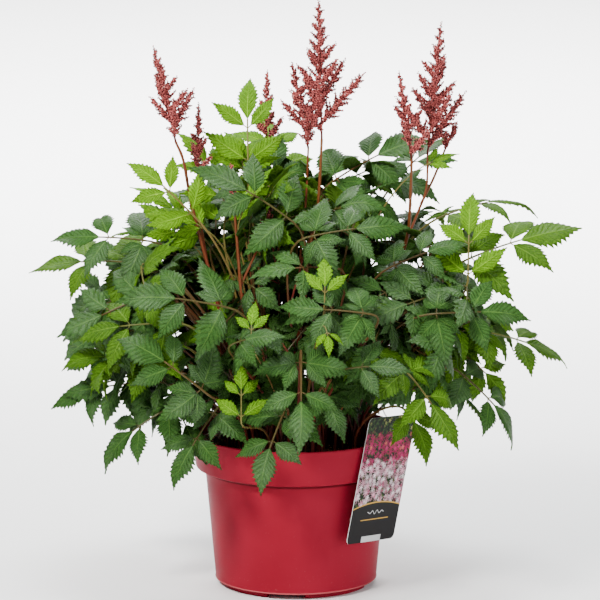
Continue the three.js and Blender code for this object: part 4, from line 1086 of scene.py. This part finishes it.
def add_branch(heap, draw, start, end, opened):
    """A branch of a plume with twigs all round it, which get shorter towards its tip."""
    long = np.linalg.norm(end - start)
    spindle(heap, start, end, min(1.0 + long * 0.03, 2.1), draw, opened)
    ahead = (end - start) / long
    across, third = across_branch(ahead)
    twigs = int(long / TWIG_GAP)
    for k in range(twigs):
        at = 0.06 + 0.82 * k / max(twigs, 1)
        here = start + (end - start) * at
        turn = math.radians(BRANCH_TURN * k + 40)
        way = unit(ahead * 0.85 + across * math.cos(turn) + third * math.sin(turn))
        length = (3.4 + long * 0.19) * (1 - 0.76 * at) * draw.uniform(0.85, 1.15)
        spindle(heap, here, here + way * length, SPINDLE, draw, opened)


def make_plume(name, number, foot, tip, reach, branches, materials):
    """A thin middle spike, the side branches of the part's own source, and short side spikes above
    them, which get shorter upwards."""
    heap = Heap()
    draw = np.random.default_rng(900 + number)
    foot, tip = np.array(foot, float), np.array(tip, float)
    height = np.linalg.norm(tip - foot)
    up_axis = (tip - foot) / height
    tube(heap, [foot, (foot + tip) / 2, tip - up_axis * 4], [1.05, 0.75, 0.3], 6, (0, 0, 0), 1)
    full = reach > SMALL_PLUME
    spindle(heap, foot + (tip - foot) * (0.62 if full else 0.4), tip - up_axis * 1.6, 1.15, draw)
    for i in range(branches):
        up = BRANCHES_FROM + BRANCHES_OVER * (i / branches)
        start = foot + (tip - foot) * up
        share = UNEVEN[0] + UNEVEN[1] * fixed_chance(SEED_STEP * number + i)
        span = reach * (1 - up) ** BRANCH_TAPER * share
        rise = span * math.tan(math.radians(BRANCH_LIFT))
        end = start + outward(BRANCH_TURN * i + BRANCH_START * number) * span + [0, 0, rise]
        add_branch(heap, draw, start, end, 0.05 * (1 - up) ** 2 if full else 0)
    spikes = int(height * SPIKES_OVER / SPIKE_GAP)
    for k in range(spikes):
        up = SPIKES_FROM + SPIKES_OVER * k / max(spikes, 1)
        start = foot + (tip - foot) * up
        length = max(reach, 20) * 0.58 * (1.04 - up) ** 0.8 * draw.uniform(0.85, 1.1)
        bearing = SPIKE_BEARINGS[k % len(SPIKE_BEARINGS)] + draw.uniform(-12, 12)
        way = unit(outward(bearing) + [0, 0, 1.05])
        spindle(heap, start, start + way * length, SPINDLE, draw)
    finish_piece(heap.piece(f"{name}_florets", materials), "plume", name)


def plume_material():
    """Buds darkened towards their feet as painted shade where they crowd on the branch, bright at their tips,
    a few of them opened and pale.
    """
    material, n = new_material("plume_buds")
    chance, _, _ = n.facts()
    place = n.place()
    _, along = n.uv()
    mottle = n.math("MULTIPLY", n.noise(120.0, 2.0, 0.6, place), 0.3)
    share = n.math("ADD", n.math("MULTIPLY", chance, 0.35), mottle)
    # Painted shade: the colour darkens from each bud's tip down to its foot.
    share = n.math("ADD", share, n.math("MULTIPLY", along, 0.75))
    base = n.mix(n.ramp(share, 0.35, 1.1), (0.055, 0.005, 0.007, 1), (0.55, 0.118, 0.108, 1))
    base = n.mix(n.ramp(chance, 0.98, 1.0), base, (0.78, 0.4, 0.36, 1))
    rough = n.math("ADD", 0.55, n.math("MULTIPLY", chance, 0.2))
    principled(n, base, rough, n.noise(2500.0, 2.0, 0.6, place), 0.3, 0.2 * MM, Specular_IOR_Level=0.2)
    return material


# ---- pot ---------------------------------------------------------------------------------------


def pot_profile():
    """The pot's cut, from the middle of its floor out, up, over the rim and back down inside."""
    r, z = BASE_RADIUS, FOOT_HEIGHT
    slope = (SHOULDER_RADIUS - BASE_RADIUS) / (SHOULDER_HEIGHT - 7)
    wall = [(r + slope * (h - 7), h) for h in np.linspace(9.5, SHOULDER_HEIGHT - 1.2, 14)]
    band = [(BAND_RADIUS + (RIM_RADIUS - BAND_RADIUS) * s, BAND_BOTTOM + (POT_HEIGHT - BAND_BOTTOM) * s)
            for s in np.linspace(0.05, 0.93, 9)]
    bead = [(-0.1, 0.1), (0.3, 0.45), (0.35, 0.9), (0.1, 1.2), (-0.02, 1.5), (-0.02, 2.2)]
    shoulder = [(0.1, -0.2), (1.0, 0.7)]
    band_foot = [(-1.4, -0.7), (-0.4, -0.25), (0.02, 0.5)]
    rim = [(-0.12, -1.1), (-0.3, -0.4), (-0.9, 0), (-1.4, -0.1)]
    return [
        (0.01, z), (INNER_FLOOR, z), (r - 4, z), (r - 0.7, z),
        *((r + x, z + y) for x, y in bead), *wall,
        *((SHOULDER_RADIUS + x, SHOULDER_HEIGHT + y) for x, y in shoulder),
        *((BAND_RADIUS + x, BAND_BOTTOM + y) for x, y in band_foot), *band,
        *((RIM_RADIUS + x, POT_HEIGHT + y) for x, y in rim),
        *((x - WALL, y + 0.4) for x, y in reversed(band)),
        (BAND_RADIUS - WALL - 0.5, BAND_BOTTOM + WALL),
        (SHOULDER_RADIUS - WALL + 0.6, SHOULDER_HEIGHT + WALL + 0.6),
        *((x - WALL, y + WALL) for x, y in reversed(wall)),
        (r - WALL - 0.6, z + WALL + 0.5), (r - WALL - 3, z + WALL), (INNER_FLOOR, z + WALL), (0.01, z + WALL),
    ]


def foot_arc(heap, bearing):
    """One of the four feet under the pot, an arc with rounded lower edges."""
    steps = 16
    angles = np.linspace(bearing - FOOT_SWEEP / 2, bearing + FOOT_SWEEP / 2, steps)
    inner, outer, top, bevel = FOOT_RADIUS - FOOT_WIDTH, FOOT_RADIUS, FOOT_HEIGHT + 0.6, 0.6
    section = [(outer, top), (outer, 0.7), (outer - bevel, 0), (inner + bevel, 0), (inner, 0.7), (inner, top)]
    points = np.array([[r * outward(a) + [0, 0, z] for r, z in section] for a in angles])
    n = len(section)
    i, j = np.meshgrid(np.arange(steps - 1), np.arange(n), indexing="ij")
    a, b = i * n + j, i * n + (j + 1) % n
    quads = np.stack([a, b, b + n, a + n], -1).reshape(-1, 4)
    last = (steps - 1) * n
    ends = [np.array([[0, 3, 2, 1], [0, 5, 4, 3]]), np.array([[0, 1, 2, 3], [0, 3, 4, 5]]) + last]
    heap.add(points.reshape(-1, 3), [quads[:, ::-1], np.vstack(ends)[:, ::-1]], (0, 0), (0, 0, 0))


def make_pot(material):
    heap = Heap()
    points, quads = lathe(pot_profile(), 144)
    heap.add(points, [quads], (0, 0), (0, 0, 0))
    for bearing in FOOT_BEARINGS:
        foot_arc(heap, bearing)
    finish_piece(heap.piece("pot_moulded", [material]), "pot_plastic", "pot")


def pot_material():
    """Mottled red plastic with scuffs, dust, a painted highlight along the bead at its foot and a painted
    shade line under its band.
    """
    material, n = new_material("pot_red_plastic")
    place = n.place()
    height = n.new("ShaderNodeSeparateXYZ", {0: place}).outputs[2]
    mottle = n.ramp(n.noise(9.0, 3.0, 0.55, place), 0.3, 0.7)
    base = n.mix(mottle, (0.2, 0.0055, 0.0165, 1), (0.238, 0.0085, 0.023, 1))
    stretch = n.new("ShaderNodeMapping", {"Vector": place, "Scale": (1.0, 1.0, 9.0)}).outputs[0]
    scuff = n.ramp(n.noise(70.0, 5.0, 0.75, stretch), 0.66, 0.8)
    base = n.mix(n.math("MULTIPLY", scuff, 0.3), base, (0.4, 0.1, 0.11, 1))
    dust = n.math("MULTIPLY", n.ramp(n.noise(420.0, 3.0, 0.7, place), 0.62, 0.78),
                  n.ramp(height, 0.0, 0.05, 1.0, 0.25))
    base = n.mix(n.math("MULTIPLY", dust, 0.25), base, (0.4, 0.22, 0.2, 1))
    # Painted highlight: a pale line along the bead at the pot's foot.
    bead = n.band(height, (FOOT_HEIGHT + 0.8) * MM, 0.4 * MM, 0.3 * MM)
    base = n.mix(n.math("MULTIPLY", bead, 0.5), base, (0.5, 0.13, 0.13, 1))
    # Painted shade: a dark line in the corner under the band's overhang.
    painted_shade_under_band = n.band(height, (SHOULDER_HEIGHT + 0.2) * MM, 1.0 * MM, 1.4 * MM)
    base = n.mix(n.math("MULTIPLY", painted_shade_under_band, 0.8), base, (0.04, 0.001, 0.003, 1))
    rough = n.math("ADD", 0.36, n.math("MULTIPLY", n.noise(35.0, 4.0, 0.6, place), 0.16))
    rough = n.math("ADD", rough, n.math("MULTIPLY", scuff, 0.15))
    swell = n.math("MULTIPLY", n.noise(160.0, 2.0, 0.5, place), 0.6)
    grain = n.math("ADD", n.noise(1100.0, 2.0, 0.6, place), swell)
    principled(n, base, rough, grain, 0.12, 0.3 * MM, Specular_IOR_Level=0.04)
    return material


# ---- soil --------------------------------------------------------------------------------------


def inside_band(z):
    share = (z - BAND_BOTTOM - WALL) / (POT_HEIGHT - BAND_BOTTOM - WALL)
    return BAND_RADIUS - WALL + share * (RIM_RADIUS - BAND_RADIUS)


def rough_height(x, y):
    """Uneven lie of the soil, in millimetres, from a few crossing waves."""
    waves = np.sin(x * 0.11 + 1.7) * np.cos(y * 0.13 + 0.4) + 0.6 * np.sin(x * 0.31 - y * 0.27)
    return waves + 0.45 * np.sin(x * 0.71 + y * 0.53 + 2) + 0.35 * np.cos(x * 1.3 - y * 1.1)


def soil_body(edge):
    """The soil as a turned body, with an uneven top."""
    floor = FOOT_HEIGHT + WALL + 0.5
    profile = [(0.4, floor), (BASE_RADIUS - WALL - 1, floor),
               (SHOULDER_RADIUS - WALL - 1, SHOULDER_HEIGHT + WALL),
               (BAND_RADIUS - WALL - 0.7, BAND_BOTTOM + WALL + 1), (edge, SOIL_LEVEL - 2.5)]
    profile += [(r, SOIL_LEVEL + SOIL_DOME * (1 - r / edge)) for r in np.linspace(edge, 0.4, 40)]
    return lathe(profile, 120)


def make_soil(material):
    """The soil, with crumbs strewn over its top: battered cubes, a few of them pale."""
    heap = Heap()
    draw = np.random.default_rng(12)
    edge = inside_band(SOIL_LEVEL) - 0.5
    points, quads = soil_body(edge)
    top = points[:, 2] > SOIL_LEVEL - 0.1
    fade = np.clip((edge - np.hypot(points[:, 0], points[:, 1])) / 6, 0, 1)
    lumps = rough_height(points[:, 0], points[:, 1]) + draw.normal(0, 0.3, len(points))
    points[:, 2] += np.where(top, lumps * fade * 0.8, 0)
    heap.add(points, [quads], (0, 0), (0.3, 0, 0))
    cube = np.array([[x, y, z] for x in (-1, 1) for y in (-1, 1) for z in (-1, 1)], float)
    sides = np.array([[0, 1, 3, 2], [4, 6, 7, 5], [0, 4, 5, 1], [2, 3, 7, 6], [0, 2, 6, 4], [1, 5, 7, 3]])
    radius = (edge - 2.5) * np.sqrt(draw.uniform(0, 1, CRUMBS))
    angle = draw.uniform(0, 2 * math.pi, CRUMBS)
    x, y = radius * np.sin(angle), -radius * np.cos(angle)
    z = SOIL_LEVEL + SOIL_DOME * (1 - radius / edge) + rough_height(x, y) * 0.8
    sizes = np.exp(draw.normal(-0.25, 0.45, CRUMBS)).clip(*CRUMB_SIZES)
    for i in range(CRUMBS):
        turn = np.array(Matrix.Rotation(draw.uniform(0, 6), 3, Vector(draw.normal(size=3))))
        scale = sizes[i] * draw.uniform(0.6, 1.25, 3)
        crumb = (cube * draw.uniform(0.62, 1.0, (8, 1)) * scale) @ turn.T
        crumb += [x[i], y[i], z[i] + sizes[i] * 0.3]
        heap.add(crumb, [sides], (0, 0), (draw.uniform(), float(draw.uniform() < PALE_CRUMBS), 0))
    finish_piece(heap.piece("soil_crumbly", [material], smooth=False), "peat", "soil")


def soil_material():
    material, n = new_material("damp_peat")
    chance, pale, _ = n.facts()
    place = n.place()
    grain = n.noise(260.0, 6.0, 0.75, place)
    base = n.mix(n.ramp(grain, 0.3, 0.75), colour(46, 31, 23), colour(138, 100, 72))
    base = n.mix(n.math("MULTIPLY", chance, 0.5), base, colour(168, 130, 96))
    base = n.mix(pale, base, colour(214, 206, 190))
    height = n.math("ADD", grain, n.noise(900.0, 4.0, 0.7, place))
    principled(n, base, n.math("ADD", 0.78, n.math("MULTIPLY", grain, 0.2)), height, 0.8, 1.0 * MM)
    return material


# ---- tag ---------------------------------------------------------------------------------------


def tag_matrix():
    """Turns the flat tag, drawn in X and Y about its lower middle, to where it hangs on the rim."""
    reach = RIM_RADIUS + 0.4 - (POT_HEIGHT - TAG_BOTTOM) * math.tan(math.radians(TAG_LEAN))
    place = Matrix.Translation(Vector(outward(TAG_BEARING) * reach) + Vector((0, 0, TAG_BOTTOM)))
    for angle, axis in ((TAG_BEARING, "Z"), (90 + TAG_LEAN, "X"), (TAG_TURN, "Z")):
        place = place @ Matrix.Rotation(math.radians(angle), 4, axis)
    return np.array(place)


def on_tag(points):
    matrix = tag_matrix()
    return np.asarray(points, float) @ matrix[:3, :3].T + matrix[:3, 3]


def tag_outline():
    half, r = TAG_WIDTH / 2, TAG_CORNER
    corners = ((half - r, r, -90), (half - r, TAG_LENGTH - r, 0), (-half + r, TAG_LENGTH - r, 90),
               (-half + r, r, 180))
    return [(x + r * math.cos(a), y + r * math.sin(a))
            for x, y, start in corners for a in np.radians(np.linspace(start, start + 90, 7))]


def tag_hole(x, y):
    """The edge of a punched hole, drawn the other way round from the outline."""
    angles = np.radians(np.arange(0, 360, 20))
    return [(x + TAG_HOLE_RADIUS * math.cos(a), y - TAG_HOLE_RADIUS * math.sin(a)) for a in angles]


def make_tag(card, edge):
    """The card with its two holes: flat faces filled between outline and holes, and a thin edge."""
    outlines = [tag_outline(), *(tag_hole(x, y) for x, y in TAG_HOLES)]
    loops = [[Vector((x, y, 0)) for x, y in line] for line in outlines]
    triangles = np.array(tessellate_polygon(loops))
    xy = np.array([(p.x, p.y) for loop in loops for p in loop])
    a, b, c = xy[triangles[:, 0]], xy[triangles[:, 1]], xy[triangles[:, 2]]
    area = (b[:, 0] - a[:, 0]) * (c[:, 1] - a[:, 1]) - (b[:, 1] - a[:, 1]) * (c[:, 0] - a[:, 0])
    triangles[area < 0] = triangles[area < 0][:, ::-1]
    triangles = triangles[np.abs(area) > 1e-6]
    n = len(xy)
    front = np.column_stack([xy, np.full(n, TAG_THICKNESS)])
    back = np.column_stack([xy, np.zeros(n)])
    rim, at = [], 0
    for loop in loops:
        k = np.arange(len(loop))
        i, j = at + k, at + (k + 1) % len(loop)
        rim.append(np.stack([i + n, j + n, j, i], -1))
        at += len(loop)
    uv = np.column_stack([xy[:, 0] / TAG_WIDTH + 0.5, xy[:, 1] / TAG_LENGTH])
    facts = np.column_stack([np.zeros(2 * n), np.repeat([0, 1], n), np.zeros(2 * n)])
    faces = [triangles, triangles[:, ::-1] + n, np.vstack(rim)]
    heap = Heap()
    heap.add(on_tag(np.vstack([front, back])), faces, np.vstack([uv, uv]), facts, (0, 0, 1))
    finish_piece(heap.piece("tag_printed", [card, edge], smooth=False), "tag_card", "tag")


# Blossoms printed on the tag: how small, seed, petals, ink, from and up to which height, and size
BLOSSOMS = (
    (20.0, 3.1, 5.0, (0.3, 0.3, 0.08), 0.84, 1.06, 0.36),
    (17.0, 7.7, 7.0, (0.3, 0.003, 0.06), 0.58, 0.9, 0.66),
    (22.0, 9.4, 6.0, (0.5, 0.015, 0.13), 0.54, 0.86, 0.48),
    (16.0, 8.3, 6.0, (0.6, 0.12, 0.08), 0.66, 0.9, 0.3),
    (16.0, 5.2, 9.0, (0.62, 0.3, 0.38), 0.28, 0.66, 0.66),
    (21.0, 2.6, 7.0, (0.76, 0.66, 0.68), 0.28, 0.66, 0.5),
    (24.0, 1.4, 6.0, (0.42, 0.05, 0.14), 0.28, 0.52, 0.34),
)
PANEL_TOP = 0.315  # of the dark lower panel, as a share of the tag's length


def blossoms(n, across, along, scale, seed, petals):
    """Distance from the middle of ragged many-petalled blossoms, one to a cell."""
    at = n.new("ShaderNodeCombineXYZ", {"X": n.math("MULTIPLY", across, 0.62), "Y": along, "Z": seed})
    cells = n.new("ShaderNodeTexVoronoi", {"Vector": at, "Scale": scale, "Randomness": 0.85})
    offset = n.new("ShaderNodeVectorMath", {0: at, 1: cells.outputs["Position"]}, operation="SUBTRACT")
    split = n.new("ShaderNodeSeparateXYZ", {0: offset})
    angle = n.math("ARCTAN2", split.outputs[1], split.outputs[0])
    wave = n.math("ADD", 0.64, n.math("MULTIPLY", n.math("COSINE", n.math("MULTIPLY", angle, petals)), 0.36))
    return n.math("DIVIDE", cells.outputs["Distance"], wave)


def add_blossoms(n, base, across, along, place):
    """Lays the blossoms over the base in bands with ragged edges, each with streaks of a deeper ink."""
    jitter = n.math("MULTIPLY", n.math("SUBTRACT", n.noise(90.0, 3.0, 0.6, place), 0.5), 0.3)
    ragged = n.math("ADD", along, jitter)
    for scale, seed, petals, ink, low, high, size in BLOSSOMS:
        far = blossoms(n, across, along, scale, seed, petals)
        below_top = n.ramp(ragged, high - 0.06, high, 1.0, 0.0)
        zone = n.math("MULTIPLY", n.ramp(ragged, low, low + 0.06), below_top)
        petal = n.math("MULTIPLY", n.ramp(far, size, size * 1.15, 1.0, 0.0), zone)
        streaks = n.math("MULTIPLY", n.ramp(far, size * 0.2, size), n.noise(800.0, 2.0, 0.7, place))
        deep = (*(0.45 * c for c in ink), 1)
        base = n.mix(petal, base, n.mix(streaks, (*ink, 1), deep))
    return base


def tag_material():
    """A printed card: ragged blossoms over dark leaves, a gold arc and a dark lower panel with a wave."""
    material, n = new_material("printed_card")
    across, along = n.uv()
    _, back, _ = n.facts()
    place = n.place()
    leafage = n.ramp(n.noise(330.0, 4.0, 0.7, place), 0.46, 0.7)
    base = n.mix(leafage, (0.003, 0.006, 0.003, 1), (0.04, 0.09, 0.014, 1))
    base = add_blossoms(n, base, across, along, place)
    middle = n.math("ABSOLUTE", n.math("SUBTRACT", across, 0.5))
    arc = n.math("SUBTRACT", PANEL_TOP, n.math("MULTIPLY", n.math("MULTIPLY", middle, middle), 0.16))
    above = n.math("SUBTRACT", along, arc)
    base = n.mix(n.ramp(above, 0.0, 0.002, 1.0, 0.0), base, (0.009, 0.008, 0.0085, 1))
    gold = n.ramp(n.math("ABSOLUTE", above), 0.004, 0.006, 1.0, 0.0)
    line = n.math("MULTIPLY", n.band(along, 0.18, 0.003, 0.0015), n.ramp(middle, 0.28, 0.3, 1.0, 0.0))
    base = n.mix(n.math("MAXIMUM", gold, line), base, (0.5, 0.29, 0.05, 1))
    swing = n.ramp(middle, 0.0, 0.2, 0.014, 0.004)
    curl = n.math("MULTIPLY", n.math("SINE", n.math("MULTIPLY", across, 62.0)), swing)
    wave = n.band(n.math("SUBTRACT", along, curl), 0.236, 0.0024, 0.002)
    wave = n.math("MULTIPLY", wave, n.ramp(middle, 0.16, 0.18, 1.0, 0.0))
    strip = n.math("MULTIPLY", n.ramp(along, 0.046, 0.049, 1.0, 0.0), n.band(across, 0.5, 0.2, 0.006))
    base = n.mix(n.math("MAXIMUM", wave, strip), base, (0.5, 0.5, 0.5, 1))
    base = n.mix(back, base, (0.6, 0.6, 0.58, 1))
    rough = n.math("ADD", 0.32, n.math("MULTIPLY", n.noise(60.0, 3.0, 0.6, place), 0.12))
    principled(n, base, rough, n.noise(700.0, 2.0, 0.5, place), 0.05, 0.1 * MM, Specular_IOR_Level=0.05)
    return material


def make_loop(material):
    (left_x, left_y), (right_x, right_y) = TAG_HOLES
    front, back = TAG_THICKNESS + 1.1, -1.1
    path = [(left_x, left_y, front), (left_x, left_y, -1.5), (left_x - 2, left_y + 5, back - 2),
            (left_x - 6, left_y + 16, back - 10), (left_x + 4, left_y + 24, back - 20),
            (right_x - 2, right_y + 16, back - 10), (right_x, right_y + 5, back - 2),
            (right_x, right_y, -1.5), (right_x, right_y, front)]
    heap = Heap()
    tube(heap, on_tag(smooth_path(path, 8)), 0.68, 10, (0, 0, 0))
    for x, y in TAG_HOLES:
        tube(heap, on_tag([(x, y, front - 0.35), (x, y, front + 0.05)]), 1.5, 12, (0, 0, 0))
    finish_piece(heap.piece("tag_loop_strap", [material]), "clear_strap", "tag_loop")


# ---- floor -------------------------------------------------------------------------------------


def make_floor(group):
    material, n = new_material("pale_floor")
    surface = placed_group(n, group, {
        "Low": (0.87, 0.87, 0.87, 1), "High": (0.91, 0.91, 0.91, 1), "Scale": 3.0})
    principled(n, surface.outputs["Color"], 0.7, surface.outputs["Height"], 0.02, MM)
    mesh = bpy.data.meshes.new("floor")
    s = FLOOR_HALF
    mesh.from_pydata([(-s, -s, 0), (s, -s, 0), (s, s, 0), (-s, s, 0)], [], [(0, 1, 2, 3)])
    mesh.materials.append(material)
    floor = bpy.data.objects.new("floor", mesh)
    bpy.context.scene.collection.objects.link(floor)


# ---- the whole scene ---------------------------------------------------------------------------

make_camera()
make_studio()
MOTTLE, STALK_SURFACE = mottle_group(), stalk_surface_group()
make_floor(MOTTLE)
BLADES, PETIOLES = leaf_materials(), petiole_materials(STALK_SURFACE)
make_pot(pot_material())
make_soil(soil_material())
make_tag(tag_material(), mottled_material("card_edge", MOTTLE, {
    "Low": colour(206, 208, 206), "High": colour(228, 230, 228), "Detail": 3.0, "Breakup": 0.6}))
make_loop(mottled_material("clear_strap", MOTTLE, {
    "Low": (0.8, 0.84, 0.84, 1), "High": (0.92, 0.94, 0.94, 1), "Scale": 400.0, "Gloss": 0.12}, Alpha=0.55))
make_leaves(BLADES, PETIOLES)
make_fill_leaves(BLADES, PETIOLES)
make_young_shoots(BLADES, PETIOLES)
make_stems(stalk_material(
    "flower_stem_red", STALK_SURFACE, (0.115, 0.006, 0.006), (0.138, 0.046, 0.011), (0.065, 0.004, 0.005)))
PLUME_MATERIALS = [plume_material(), stalk_material(
    "plume_stalk", STALK_SURFACE, (0.12, 0.018, 0.014), (0.2, 0.04, 0.03), (0.09, 0.012, 0.01))]
for plume_number, (plume_name, plume_row) in enumerate(PLUMES.items()):
    make_plume(plume_name, plume_number, *plume_row, PLUME_MATERIALS)
